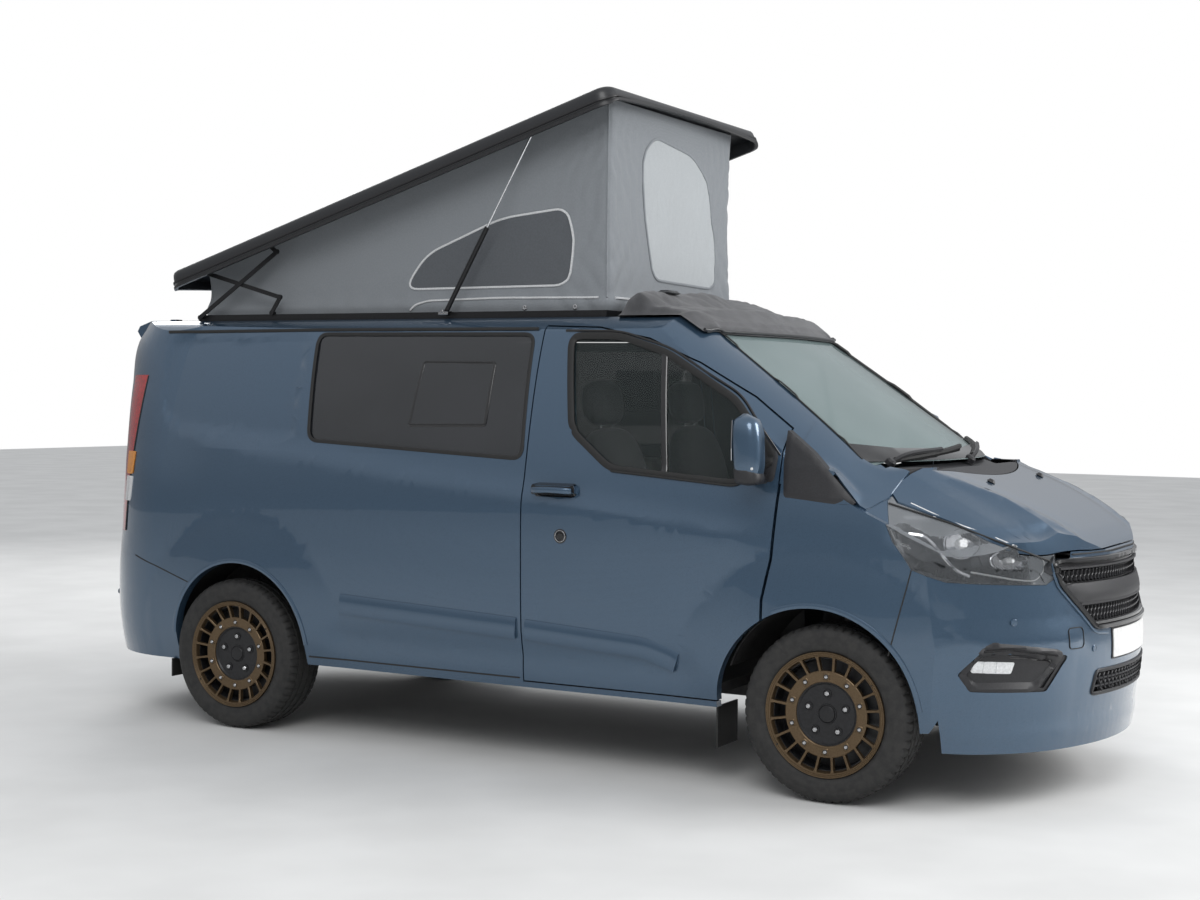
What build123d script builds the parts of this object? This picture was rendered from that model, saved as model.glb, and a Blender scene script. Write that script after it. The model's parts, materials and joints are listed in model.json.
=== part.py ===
from build123d import *
import os
from math import atan2, cos, degrees, hypot, radians, sin

os.makedirs("parts", exist_ok=True)

# Camper van, right-hand drive, pop-top roof raised. Millimetres.
# +X forward, +Y to the vehicle's left, +Z up. The origin is on the ground, under the middle of the body.

# Whole vehicle
body_length = 4973
body_width = 1986
wheelbase = 2933
front_overhang = 960
roof_height = 1928
sill_height = 333
wall = 44
inner_gap = 2
panel_gap = 6
seat_gap = 0.3
glass_depth = 6
glass_thickness = 6

nose_x = body_length / 2
tail_x = -body_length / 2
half_width = body_width / 2
front_axle_x = nose_x - front_overhang
rear_axle_x = front_axle_x - wheelbase

# Wheels
tyre_radius = 346.5
tyre_width = 235
rim_radius = 245
track_half = 849
disc_radius = 150
disc_thickness = 24
spoke_windows = 20

# Steering
kingpin_y = 700
steered_tyre_y = 924
steer_column_rise = 35
column_radius, column_clearance, column_length = 22, 0.4, 190

# Wheel arches: shift of the centre from the axle, centre height and radius
front_arch_shift, front_arch_height, front_arch_radius = -42, 348, 412
rear_arch_shift, rear_arch_height, rear_arch_radius = 38, 385, 390
liner_radius = 440
liner_thickness = 6

# Body plan: crown and shoulder of the nose and of the tail, and how much the sides taper
nose_crown, nose_shoulder_y, nose_corner_length, nose_corner_bulge = 105, 500, 420, 62
tail_crown, tail_shoulder_y, tail_corner_length, tail_corner_bulge = 90, 600, 496, 94
side_radius_front, side_radius_rear = 100000, 50000

# Body levels below the belt: height, half width, nose setback, tail setback
lower_levels = [
    (230, 925, 45, 45),
    (420, 968, 12, 10),
    (620, 986, 0, 0),
    (900, half_width, 35, 22),
    (1100, 985, 50, 32),
    (1300, 955, 60, 40),
]

# Cabin levels: height, half width, screen x at the centre, screen edge x and y, side front x, tail setback
upper_levels = [
    (1300, 955, 1818, 1631, 765, 1400, 40),
    (1600, 890, 1345, 1230, 705, 1040, 58),
    (1800, 828, 1030, 945, 665, 790, 82),
    (1950, 765, 793, 735, 635, 590, 190),
]

# Bonnet: centre-line profile (x, height), and where its edges fall away across the body
bonnet_profile = [(2431, 972), (2395, 1010), (2266, 1100), (2094, 1188), (1829, 1290)]
bonnet_fall = [(540, 40), (700, -35), (800, -105), (930, -190)]
bonnet_slope = 28

# Roof edge across the body: half width and height
roof_edge = [(900, 1700), (812, 1843), (700, 1903)]

# Side outlines, x and height, shared by both sides
door_rear_x = 166
door_bottom = 357
door_outline = [
    (door_rear_x, door_bottom), (door_rear_x, 1866), (433, 1858), (680, 1810), (925, 1710),
    (1167, 1574), (1336, 1450), (1324, 1210), (1304, 937), (1272, 779), (1272, door_bottom),
]
door_glass_outline = [
    (307, 1814), (374, 1423), (573, 1272), (1139, 1230), (1300, 1330), (1102, 1557), (772, 1742), (536, 1812),
]
side_glass_outline = [(-1038, 1833), (122, 1827), (146, 1297), (-996, 1350)]
wing_outline = [
    (1272, 430), (1272, 779), (1304, 937), (1324, 1210), (1327, 1235), (1560, 1180), (1700, 1190),
    (1718, 1210), (1790, 1040), (1867, 927), (1790, 600), (1830, 430),
]
lamp_outline = [
    (1718, 1212), (1790, 1040), (1867, 927), (1990, 885), (2290, 868), (2345, 925), (2335, 1010), (2160, 1090),
]
lamp_inner_y = 575
front_bumper_outline = [
    (1836, 230), (1836, 430), (1790, 600), (1867, 927), (1990, 885), (2290, 868), (2345, 925), (2345, 985),
    (2600, 985), (2600, 230),
]
rear_bumper_outline = [(-2600, 290), (-1690, 290), (-1665, 668), (-2035, 772), (-2600, 772)]
tail_lamp_outline = [(-2600, 880), (-2150, 880), (-2110, 1200), (-2040, 1640), (-2600, 1640)]
tail_lamp_inner_y = 770
sliding_door_rear_x = -1000

# Front and rear view outlines, y and height, one half
screen_half = [(742, 1318), (735, 1360), (612, 1862)]
tailgate_half = [(735, 565), (752, 1000), (728, 1500), (655, 1830), (650, 1990)]
tailgate_glass_half = [(610, 1120), (590, 1500), (540, 1770)]
grille_half = [(385, 690), (560, 865), (575, 955)]
lower_grille_half = [(400, 430), (380, 520)]
# Heights between which the grilles lie back from their bars
mesh_levels = [(717, 784), (866, 924), (938, 960)]
lower_mesh_levels = [(436, 456), (463, 485), (492, 514)]
# Recess of the fog lamp in the corner of the bumper, x and height
fog_outline = [(2035, 540), (2110, 625), (2360, 600), (2300, 465), (2075, 475)]
fog_inner_y, fog_corner = 560, 12

# Roof hatch and split between roof and sides
roof_split_y = 690
hatch_rear_x, hatch_front_x, hatch_half = -1000, 300, 520

# Hinge line of the tailgate, x and height, and its two hinges
tailgate_hinge = (-2262, 1918)
tailgate_front_x = -2250
hinge_y, hinge_width, hinge_radius, hinge_gap = 400, 40, 7, 0.5

# Pop-top: places of the right-hand mechanism in x and height at the raised pose
arm_foot = (-1839.5, 1920)
arm_length = 562.7
arm_rise = 33.0
link_length = 55.4
link_rise = 140.9
lid_rear_edge = (-1969, 2048)
lid_tilt = 17.17
lid_length = 2545
lid_half = 780
lid_skirt = 85
lid_crown = 28
lid_wall = 13
skirt_relief = 38
cross_pivot_along = 290
cross_arm_rear = 202
cross_arm_front = 245
cross_arm_rise = 164.7
base_link_foot = (-1411.5, 1939)
strut_foot = (-413.5, 1930)
strut_top = (27.5, 2698.5)
strut_body_length = 430
strut_stroke = 298
base_link_y, cross_arm_y, arm_y, lid_link_y, ear_y = 690, 698, 706, 714, 722
strut_y = 700
arm_thickness = 6
arm_height = 20
pin_radius = 5
pin_clearance = 0.1
rail_inner_y, rail_outer_y = 640, 684
rail_end, rail_corner = 30, 50
plate_half, plate_thickness, plate_low = 16, 8, 1908

# Tent
tent_front_x = 376
tent_rear_x = -1880
tent_half = 622
tent_wall = 8
roof_frame_top = 1933


def rises(point, length, angle):
    """The point at a length and an angle above the X axis."""
    return (point[0] + length * cos(radians(angle)), point[1] + length * sin(radians(angle)))


arm_top = rises(arm_foot, arm_length, arm_rise)
lid_pivot = rises(arm_top, link_length, link_rise)
cross_pivot = rises(arm_foot, cross_pivot_along, arm_rise)


def bulge(start, end, sagitta):
    """The middle point of an arc that bulges away from the origin by the sagitta."""
    mid_x, mid_y = (start[0] + end[0]) / 2, (start[1] + end[1]) / 2
    span_x, span_y = end[0] - start[0], end[1] - start[1]
    length = hypot(span_x, span_y)
    normal_x, normal_y = span_y / length, -span_x / length
    away = 1 if normal_x * mid_x + normal_y * mid_y > 0 else -1
    return (mid_x + away * sagitta * normal_x, mid_y + away * sagitta * normal_y)


def side_point(x, half, radius, side):
    """A point of the side's gentle curve, which is widest at the middle of the body."""
    return (x, side * (half - radius + (radius ** 2 - x ** 2) ** 0.5))


def plan_outline(height, half, front_centre, front_edge, front_x, rear_x, rear_edge, rear_centre, front_sagitta):
    """A horizontal section of the body, the same on both sides."""
    with BuildSketch(Plane.XY.offset(height)) as section:
        with BuildLine():
            ThreePointArc(front_edge, (front_centre, 0), (front_edge[0], -front_edge[1]))
            ThreePointArc(rear_edge, (rear_centre, 0), (rear_edge[0], -rear_edge[1]))
            for side in (1, -1):
                edge, tail = (front_edge[0], side * front_edge[1]), (rear_edge[0], side * rear_edge[1])
                front = side_point(front_x, half, side_radius_front, side)
                rear = side_point(rear_x, half, side_radius_rear, side)
                ThreePointArc(edge, bulge(edge, front, front_sagitta), front)
                ThreePointArc(front, side_point(front_x / 2, half, side_radius_front, side), (0, side * half))
                ThreePointArc((0, side * half), side_point(rear_x / 2, half, side_radius_rear, side), rear)
                ThreePointArc(rear, bulge(rear, tail, tail_corner_bulge), tail)
        make_face()
    return section.sketch


def tail_section(inset, tail):
    """Where the side ends, the shoulder and the middle of the tail."""
    return (tail + tail_crown + tail_corner_length - inset / 3,
            (tail + tail_crown, tail_shoulder_y - inset / 3), tail)


def lower_section(level, inset):
    height, half, nose_setback, tail_setback = level
    nose = nose_x - nose_setback - inset
    front_edge = (nose - nose_crown, nose_shoulder_y - inset / 3)
    front_x = front_edge[0] - nose_corner_length + inset / 3
    return plan_outline(height, half - inset, nose, front_edge, front_x,
                        *tail_section(inset, tail_x + tail_setback + inset), nose_corner_bulge)


def upper_section(level, inset):
    height, half, centre_x, edge_x, edge_y, side_x, tail_setback = level
    shift = inset / sin(radians(35))
    return plan_outline(height, half - inset, centre_x - shift, (edge_x - shift, edge_y - inset / 2), side_x - inset,
                        *tail_section(inset, tail_x + tail_setback + inset), 20)


def hull(inset):
    """The outer shape of the body, moved inwards by the inset."""
    bonnet_plane = Plane(
        origin=(bonnet_profile[-1][0], 0, bonnet_profile[-1][1]), x_dir=(0, 1, 0),
        z_dir=(cos(radians(bonnet_slope)), 0, -sin(radians(bonnet_slope))))
    below = 150 if inset > 0 else 0
    with BuildPart() as shape:
        sections = [lower_section(level, inset) for level in lower_levels]
        if below:
            sections.insert(0, lower_section((lower_levels[0][0] - below,) + lower_levels[0][1:], inset))
        loft(sections=sections, ruled=True)
        with BuildSketch(Plane.XZ):
            with BuildLine():
                Polyline(
                    (-2700, 0), (2700, 0), (2700, 900 - inset), (2480, 900 - inset),
                    *[(x, z - inset) for x, z in bonnet_profile],
                    (bonnet_profile[-1][0], 1400), (-2700, 1400), close=True)
            make_face()
        extrude(amount=1200, both=True, mode=Mode.INTERSECT)
        for side in (1, -1):
            with BuildSketch(bonnet_plane.offset(-250)):
                with BuildLine():
                    Polyline(
                        *[(side * y, z - inset) for y, z in bonnet_fall],
                        (side * 1150, -190 - inset), (side * 1150, 420), (side * 540, 420), close=True)
                make_face()
            extrude(amount=1200, mode=Mode.SUBTRACT)
        loft(sections=[upper_section(level, inset) for level in upper_levels], ruled=True)
        with BuildSketch(Plane.YZ.offset(-2700)):
            with BuildLine():
                edge = [(y - inset, z - inset * 0.7) for y, z in roof_edge]
                for side in (1, -1):
                    low, middle, high = [(side * y, z) for y, z in edge]
                    Polyline((side * 1200, 0), (side * 1200, low[1]), low)
                    ThreePointArc(low, middle, high)
                ThreePointArc(edge[2], (0, roof_height - inset), (-edge[2][0], edge[2][1]))
                Line((-1200, 0), (1200, 0))
            make_face()
        extrude(amount=5400, mode=Mode.INTERSECT)
    return shape.part


def side_prism(points, side, inner_y=roof_split_y, corner=0, shrink=0):
    """A side-view outline as a block through one side of the body."""
    outer_y = 1300
    with BuildPart() as prism:
        with BuildSketch(Plane.XZ.offset(inner_y if side < 0 else -outer_y)) as outline:
            with BuildLine():
                Polyline(*points, close=True)
            make_face()
            if corner:
                fillet(outline.vertices(), corner)
            if shrink:
                offset(amount=-shrink, kind=Kind.INTERSECTION, mode=Mode.REPLACE)
        extrude(amount=outer_y - inner_y)
    return prism.part


def end_prism(half_points, low_x, high_x, corner=0, shrink=0):
    """A front-view outline, given as one half, as a block along the body."""
    other_half = [(-y, z) for y, z in reversed(half_points)]
    with BuildPart() as prism:
        with BuildSketch(Plane.YZ.offset(low_x)) as outline:
            with BuildLine():
                Polyline(*half_points, *other_half, close=True)
            make_face()
            if corner:
                fillet(outline.vertices(), corner)
            if shrink:
                offset(amount=-shrink, kind=Kind.INTERSECTION, mode=Mode.REPLACE)
        extrude(amount=high_x - low_x)
    return prism.part


def block(low, high):
    """A box between two corners."""
    with BuildPart() as part:
        with Locations(tuple((a + b) / 2 for a, b in zip(low, high))):
            Box(*[b - a for a, b in zip(low, high)])
    return part.part


def arch(side, centre_x, height, radius, inner_y=500):
    """The cylinder that opens one wheel arch."""
    with BuildPart() as cutter:
        with BuildSketch(Plane.XZ.offset(inner_y if side < 0 else -1300)):
            with Locations((centre_x, height)):
                Circle(radius)
                with Locations((0, -radius)):
                    Rectangle(2 * radius, 2 * radius)
        extrude(amount=1300 - inner_y)
    return cutter.part


def tyre_room(side, outer_y):
    """The round space that a steered tyre sweeps inside the front bumper."""
    with BuildPart() as room:
        add(arch(side, front_axle_x, tyre_radius, liner_radius))
        add(block((0, -outer_y, 0), (2500, outer_y, 800)), mode=Mode.INTERSECT)
    return room.part


def bar(start, end, centre_y, height=arm_height, thickness=arm_thickness, round_end=12):
    """A flat bar with round ends between two pivots, with its pivot eyes."""
    with BuildPart() as part:
        with BuildSketch(Plane.XZ.offset(-centre_y - thickness / 2)):
            middle = ((start[0] + end[0]) / 2, (start[1] + end[1]) / 2)
            length = hypot(end[0] - start[0], end[1] - start[1])
            turn = degrees(atan2(end[1] - start[1], end[0] - start[0]))
            with Locations(Location((middle[0], middle[1], 0), (0, 0, turn))):
                Rectangle(length, height)
            with Locations(start, end):
                Circle(round_end)
        extrude(amount=thickness)
    return part.part


def pin(point, start_y, end_y, radius=pin_radius):
    low_y, high_y = sorted((start_y, end_y))
    with BuildPart() as part:
        with BuildSketch(Plane.XZ.offset(-high_y)):
            with Locations(point):
                Circle(radius)
        extrude(amount=high_y - low_y)
    return part.part


def save(part, name):
    part.label = name
    export_step(part, f"parts/{name}.step")


outer_hull = hull(0)
inner_space = hull(wall + inner_gap)
with BuildPart() as body_shell:
    add(outer_hull)
    add(hull(wall), mode=Mode.SUBTRACT)
with BuildPart() as glass_shell:
    add(hull(glass_depth))
    add(hull(glass_depth + glass_thickness), mode=Mode.SUBTRACT)

front_arch_x = front_axle_x + front_arch_shift
rear_arch_x = rear_axle_x + rear_arch_shift
tailgate_block = end_prism(tailgate_half, -2700, -2240, corner=40)
screen_block = end_prism(screen_half, 760, 1990, corner=30)

# Body sides: quarter panel, sill, pillars and roof rail in one pressing each
side_outline = [
    (-2600, 772), (-2035, 772), (-1665, 668), (-1665, sill_height), (1068, sill_height), (1068, 400),
    (1300, 1200), (1327, 1235), (1560, 1180), (1700, 1190), (1718, 1260), (1718, 1990), (-2600, 1990),
]
sliding_door_outline = [
    (sliding_door_rear_x, 372), (sliding_door_rear_x, 1845), (120, 1840), (120, 372),
]
for side, name in ((-1, "body_side_right"), (1, "body_side_left")):
    with BuildPart() as body_side:
        add(body_shell.part)
        add(side_prism(side_outline, side), mode=Mode.INTERSECT)
        add(side_prism(door_outline, side), mode=Mode.SUBTRACT)
        add(arch(side, rear_arch_x, rear_arch_height, rear_arch_radius), mode=Mode.SUBTRACT)
        add(side_prism(tail_lamp_outline, side, tail_lamp_inner_y), mode=Mode.SUBTRACT)
        add(tailgate_block, mode=Mode.SUBTRACT)
        add(screen_block, mode=Mode.SUBTRACT)
        if side < 0:
            add(side_prism(side_glass_outline, side, corner=45), mode=Mode.SUBTRACT)
        else:
            add(side_prism(sliding_door_outline, side, corner=60), mode=Mode.SUBTRACT)
    save(body_side.part, name)

with BuildPart() as sliding_door:
    add(body_shell.part)
    add(side_prism(sliding_door_outline, 1, corner=60, shrink=panel_gap), mode=Mode.INTERSECT)
    add(side_prism([(-930, 1800), (60, 1797), (84, 1297), (-900, 1330)], 1, corner=45), mode=Mode.SUBTRACT)
save(sliding_door.part, "sliding_door")

with BuildPart() as side_glass:
    for side, outline in ((-1, side_glass_outline), (1, [(-930, 1800), (60, 1797), (84, 1297), (-900, 1330)])):
        with BuildPart(mode=Mode.PRIVATE) as pane:
            add(glass_shell.part)
            add(side_prism(outline, side, corner=45, shrink=seat_gap), mode=Mode.INTERSECT)
        add(pane.part)
save(side_glass.part, "side_glass")

# Roof skin with the hatch under the tent, and the windscreen header
with BuildPart() as roof_panel:
    add(body_shell.part)
    add(block((-2700, -roof_split_y, 1500), (1990, roof_split_y, 2000)), mode=Mode.INTERSECT)
    add(screen_block, mode=Mode.SUBTRACT)
    add(tailgate_block, mode=Mode.SUBTRACT)
    add(block((hatch_rear_x, -hatch_half, 1700), (hatch_front_x, hatch_half, 2100)), mode=Mode.SUBTRACT)
    for side in (1, -1):
        low_y, high_y = sorted((side * hinge_y, side * (hinge_y + hinge_width)))
        add(block((tailgate_hinge[0], low_y, tailgate_hinge[1] - hinge_radius),
                  (tailgate_front_x + 25, high_y, tailgate_hinge[1] + hinge_radius)))
        add(pin(tailgate_hinge, low_y, high_y, hinge_radius))
save(roof_panel.part, "roof_panel")

with BuildPart() as windscreen:
    add(glass_shell.part)
    add(end_prism(screen_half, 760, 1990, corner=30, shrink=seat_gap), mode=Mode.INTERSECT)
save(windscreen.part, "windscreen")

# Cowl: the black panel between windscreen and bonnet
cowl_rear_x, cowl_edge_x, cowl_half, cowl_length = 1835, 1615, 790, 95
with BuildPart() as cowl_panel:
    add(body_shell.part)
    with BuildSketch(Plane.XY.offset(1180)):
        with BuildLine():
            ThreePointArc((cowl_edge_x, -cowl_half), (cowl_rear_x, 0), (cowl_edge_x, cowl_half))
            Line((cowl_edge_x, cowl_half), (cowl_edge_x + cowl_length, cowl_half))
            ThreePointArc(
                (cowl_edge_x + cowl_length, cowl_half), (cowl_rear_x + cowl_length, 0),
                (cowl_edge_x + cowl_length, -cowl_half))
            Line((cowl_edge_x + cowl_length, -cowl_half), (cowl_edge_x, -cowl_half))
        make_face()
    extrude(amount=138 - seat_gap, mode=Mode.INTERSECT)
    for side in (1, -1):
        for outline in (side_outline, wing_outline):
            add(side_prism(outline, side), mode=Mode.SUBTRACT)
save(cowl_panel.part, "cowl_panel")

# Bonnet: from the cowl to above the grille, between the headlamps
bonnet_front_height = 990
bonnet_sides = [(1716, 792), (1760, 826), (2160, 770), (2345, 600), (2520, 420)]


def bonnet_area(gap):
    """The plan of the bonnet as a block, from the height of its front edge up."""
    with BuildPart() as area:
        with BuildSketch(Plane.XY.offset(bonnet_front_height - gap)):
            with BuildLine():
                Polyline(*bonnet_sides, *[(x, -y) for x, y in reversed(bonnet_sides)])
                start = bonnet_sides[0]
                ThreePointArc(
                    (start[0], -start[1]), (cowl_rear_x + cowl_length + panel_gap, 0), start)
            make_face()
            if gap:
                offset(amount=gap, kind=Kind.INTERSECTION, mode=Mode.REPLACE)
        extrude(amount=400)
    return area.part


bonnet_space = bonnet_area(panel_gap)
with BuildPart() as bonnet:
    add(body_shell.part)
    add(bonnet_area(0), mode=Mode.INTERSECT)
save(bonnet.part, "bonnet")

with BuildPart() as wings:
    for side in (1, -1):
        with BuildPart(mode=Mode.PRIVATE) as wing:
            add(body_shell.part)
            add(side_prism(wing_outline, side, shrink=seat_gap), mode=Mode.INTERSECT)
            add(arch(side, front_arch_x, front_arch_height, front_arch_radius), mode=Mode.SUBTRACT)
            add(side_prism(door_outline, side, shrink=-panel_gap), mode=Mode.SUBTRACT)
            add(bonnet_space, mode=Mode.SUBTRACT)
        add(wing.part)
save(wings.part, "wings")

# Nose: bumper cover, grille and lamps
grille_block = end_prism(grille_half, 1990, 2600, corner=20)
lower_grille_block = end_prism(lower_grille_half, 1990, 2600, corner=20)
with BuildPart() as front_bumper:
    add(body_shell.part)
    with BuildPart(mode=Mode.PRIVATE) as bumper_area:
        for side in (1, -1):
            add(side_prism(front_bumper_outline, side, 0))
    add(bumper_area.part, mode=Mode.INTERSECT)
    add(grille_block, mode=Mode.SUBTRACT)
    add(lower_grille_block, mode=Mode.SUBTRACT)
    for side in (1, -1):
        add(arch(side, front_arch_x, front_arch_height, front_arch_radius), mode=Mode.SUBTRACT)
        add(side_prism(wing_outline, side), mode=Mode.SUBTRACT)
        add(side_prism(lamp_outline, side, lamp_inner_y), mode=Mode.SUBTRACT)
        add(side_prism(fog_outline, side, fog_inner_y, corner=fog_corner), mode=Mode.SUBTRACT)
        add(tyre_room(side, steered_tyre_y), mode=Mode.SUBTRACT)
save(front_bumper.part, "front_bumper")

# Grilles: bars near the surface, and the mesh between them further back
bar_depth, mesh_depth, grille_back = 5, 12, 34
with BuildPart() as grille_shell:
    add(hull(bar_depth))
    add(hull(grille_back), mode=Mode.SUBTRACT)
with BuildPart() as grille_relief:
    add(outer_hull)
    add(hull(mesh_depth), mode=Mode.SUBTRACT)
with BuildPart() as grille:
    for opening, levels in ((grille_half, mesh_levels), (lower_grille_half, lower_mesh_levels)):
        with BuildPart(mode=Mode.PRIVATE) as mesh:
            add(grille_shell.part)
            add(end_prism(opening, 1990, 2600, corner=20, shrink=seat_gap), mode=Mode.INTERSECT)
            for low, high in levels:
                with BuildPart(mode=Mode.PRIVATE) as relief:
                    add(grille_relief.part)
                    add(block((1990, -700, low), (2600, 700, high)), mode=Mode.INTERSECT)
                add(relief.part, mode=Mode.SUBTRACT)
        add(mesh.part)
save(grille.part, "grille")

# Black surrounds of the fog lamps, set back in the bumper
with BuildPart() as fog_lamps:
    for side in (1, -1):
        with BuildPart(mode=Mode.PRIVATE) as surround:
            add(grille_shell.part)
            add(side_prism(fog_outline, side, fog_inner_y, corner=fog_corner, shrink=seat_gap), mode=Mode.INTERSECT)
            with BuildPart(mode=Mode.PRIVATE) as dish:
                add(grille_relief.part)
                add(side_prism(fog_outline, side, fog_inner_y, corner=fog_corner, shrink=14), mode=Mode.INTERSECT)
            add(dish.part, mode=Mode.SUBTRACT)
        add(surround.part)
save(fog_lamps.part, "fog_lamps")

lamp_depth = 160
with BuildPart() as lamp_shell:
    add(hull(2))
    add(hull(lamp_depth), mode=Mode.SUBTRACT)
with BuildPart() as headlamps:
    for side in (1, -1):
        with BuildPart(mode=Mode.PRIVATE) as lamp:
            add(lamp_shell.part)
            add(side_prism(lamp_outline, side, lamp_inner_y, shrink=seat_gap), mode=Mode.INTERSECT)
            add(arch(side, front_axle_x, tyre_radius, liner_radius + liner_thickness + 4), mode=Mode.SUBTRACT)
            add(bonnet_space, mode=Mode.SUBTRACT)
            add(block((1690, -800, bonnet_front_height), (1960, 800, 1400)), mode=Mode.SUBTRACT)
        add(lamp.part)
save(headlamps.part, "headlamps")

# Tail: bumper, lamps, tailgate and its glass
with BuildPart() as rear_bumper:
    add(body_shell.part)
    with BuildPart(mode=Mode.PRIVATE) as bumper_area:
        for side in (1, -1):
            add(side_prism(rear_bumper_outline, side, 0, shrink=seat_gap))
    add(bumper_area.part, mode=Mode.INTERSECT)
    add(tailgate_block, mode=Mode.SUBTRACT)
    for side in (1, -1):
        add(arch(side, rear_arch_x, rear_arch_height, rear_arch_radius), mode=Mode.SUBTRACT)
save(rear_bumper.part, "rear_bumper")

with BuildPart() as tail_lamps:
    for side in (1, -1):
        with BuildPart(mode=Mode.PRIVATE) as lamp:
            add(body_shell.part)
            add(side_prism(tail_lamp_outline, side, tail_lamp_inner_y, shrink=seat_gap), mode=Mode.INTERSECT)
            add(tailgate_block, mode=Mode.SUBTRACT)
        add(lamp.part)
save(tail_lamps.part, "tail_lamps")

with BuildPart() as tailgate:
    add(body_shell.part)
    add(end_prism(tailgate_half, -2700, -2240, corner=40, shrink=panel_gap), mode=Mode.INTERSECT)
    add(block((-2700, -900, 500), (tailgate_front_x, 900, 2000)), mode=Mode.INTERSECT)
    add(end_prism(tailgate_glass_half, -2700, -2250, corner=50), mode=Mode.SUBTRACT)
    for side in (1, -1):
        low_y, high_y = sorted((side * (hinge_y - hinge_gap), side * (hinge_y + hinge_width + hinge_gap)))
        add(block((tailgate_hinge[0] - 16, low_y, tailgate_hinge[1] - 16),
                  (tailgate_front_x + 25, high_y, tailgate_hinge[1] + 40)), mode=Mode.SUBTRACT)
save(tailgate.part, "tailgate")

with BuildPart() as tailgate_glass:
    add(glass_shell.part)
    add(end_prism(tailgate_glass_half, -2700, -2250, corner=50, shrink=seat_gap), mode=Mode.INTERSECT)
save(tailgate_glass.part, "tailgate_glass")

# Front doors with their glass and mirrors
handle_x, handle_height = 325, 1178
mirror_low, mirror_high = (1150, 1216), (1330, 1520)
mirror_inner_y, mirror_outer_y, mirror_rounding = 1040, 1136, 16
for side, hand in ((-1, "right"), (1, "left")):
    with BuildPart() as door:
        add(body_shell.part)
        add(side_prism(door_outline, side, shrink=panel_gap), mode=Mode.INTERSECT)
        add(side_prism(door_glass_outline, side, corner=18), mode=Mode.SUBTRACT)
        add(arch(side, front_arch_x, front_arch_height, front_arch_radius), mode=Mode.SUBTRACT)
        with Locations((handle_x, side * 984, handle_height)):
            Box(200, 34, 30)
    save(door.part, f"door_{hand}")
    with BuildPart() as pane:
        add(glass_shell.part)
        add(side_prism(door_glass_outline, side, corner=18, shrink=seat_gap), mode=Mode.INTERSECT)
    save(pane.part, f"door_glass_{hand}")
    with BuildPart() as mirror:
        with BuildSketch(Plane.XY.offset(mirror_low[1])):
            with BuildLine():
                Polyline(
                    (mirror_low[0], side * mirror_inner_y), (1295, side * mirror_inner_y),
                    (mirror_high[0], side * 1080), (1300, side * mirror_outer_y),
                    (1180, side * mirror_outer_y), (mirror_low[0], side * 1120), close=True)
            make_face()
        extrude(amount=mirror_high[1] - mirror_low[1])
        fillet(mirror.edges().filter_by(Axis.Z), mirror_rounding)
        fillet(mirror.faces().sort_by(Axis.Z)[-1].edges(), mirror_rounding - 4)
        fillet(mirror.faces().sort_by(Axis.Z)[0].edges(), mirror_rounding - 4)
        with Locations((1255, side * 1000, mirror_low[1] + 40)):
            Box(80, 110, 70)
        add(outer_hull, mode=Mode.SUBTRACT)
    save(mirror.part, f"mirror_{hand}")

# Floor, rails and rear wheel tubs
floor_low, floor_high = 385, 425
rail_inner, rail_outer, rail_low = 430, 515, 312
tub_radius, tub_inner_y = 430, 655
with BuildPart() as floor_pan:
    add(block((-2330, -930, floor_low), (1070, 930, floor_high)))
    add(block((1070, -515, floor_low), (1330, 515, floor_high)))
    add(inner_space, mode=Mode.INTERSECT)
    for side in (1, -1):
        with BuildPart(mode=Mode.PRIVATE) as tub:
            with BuildSketch(Plane.XZ.offset(tub_inner_y if side < 0 else -920)):
                with Locations((rear_axle_x, tyre_radius)):
                    Circle(tub_radius + 5)
            extrude(amount=920 - tub_inner_y)
            add(block((-2700, -1000, 0), (0, 1000, floor_high - 1)), mode=Mode.SUBTRACT)
            add(inner_space, mode=Mode.INTERSECT)
        add(tub.part)
    for side in (1, -1):
        add(arch(side, rear_axle_x, tyre_radius, tub_radius, tub_inner_y + 5), mode=Mode.SUBTRACT)
        low_y, high_y = sorted((side * rail_inner, side * rail_outer))
        add(block((-2300, low_y, rail_low), (1100, high_y, floor_low + 1)))
        add(block((1070, low_y, 300), (2260, high_y, 470)))
    for x in (-2270, -370):
        add(block((x - 30, -rail_inner - 5, 335), (x + 30, rail_inner + 5, floor_low + 1)))
save(floor_pan.part, "floor_pan")

# Bulkhead between engine bay and cab
with BuildPart() as bulkhead:
    add(block((1336, -510, 470 + seat_gap), (1366, 510, 1130)))
    add(block((1300, -425, floor_high + seat_gap), (1366, 425, floor_high + 20)))
    add(block((1336, -425, floor_high + 10), (1366, 425, 480)))
    add(block((1336, -880, 810), (1366, 880, 1130)))
save(bulkhead.part, "bulkhead")

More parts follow.
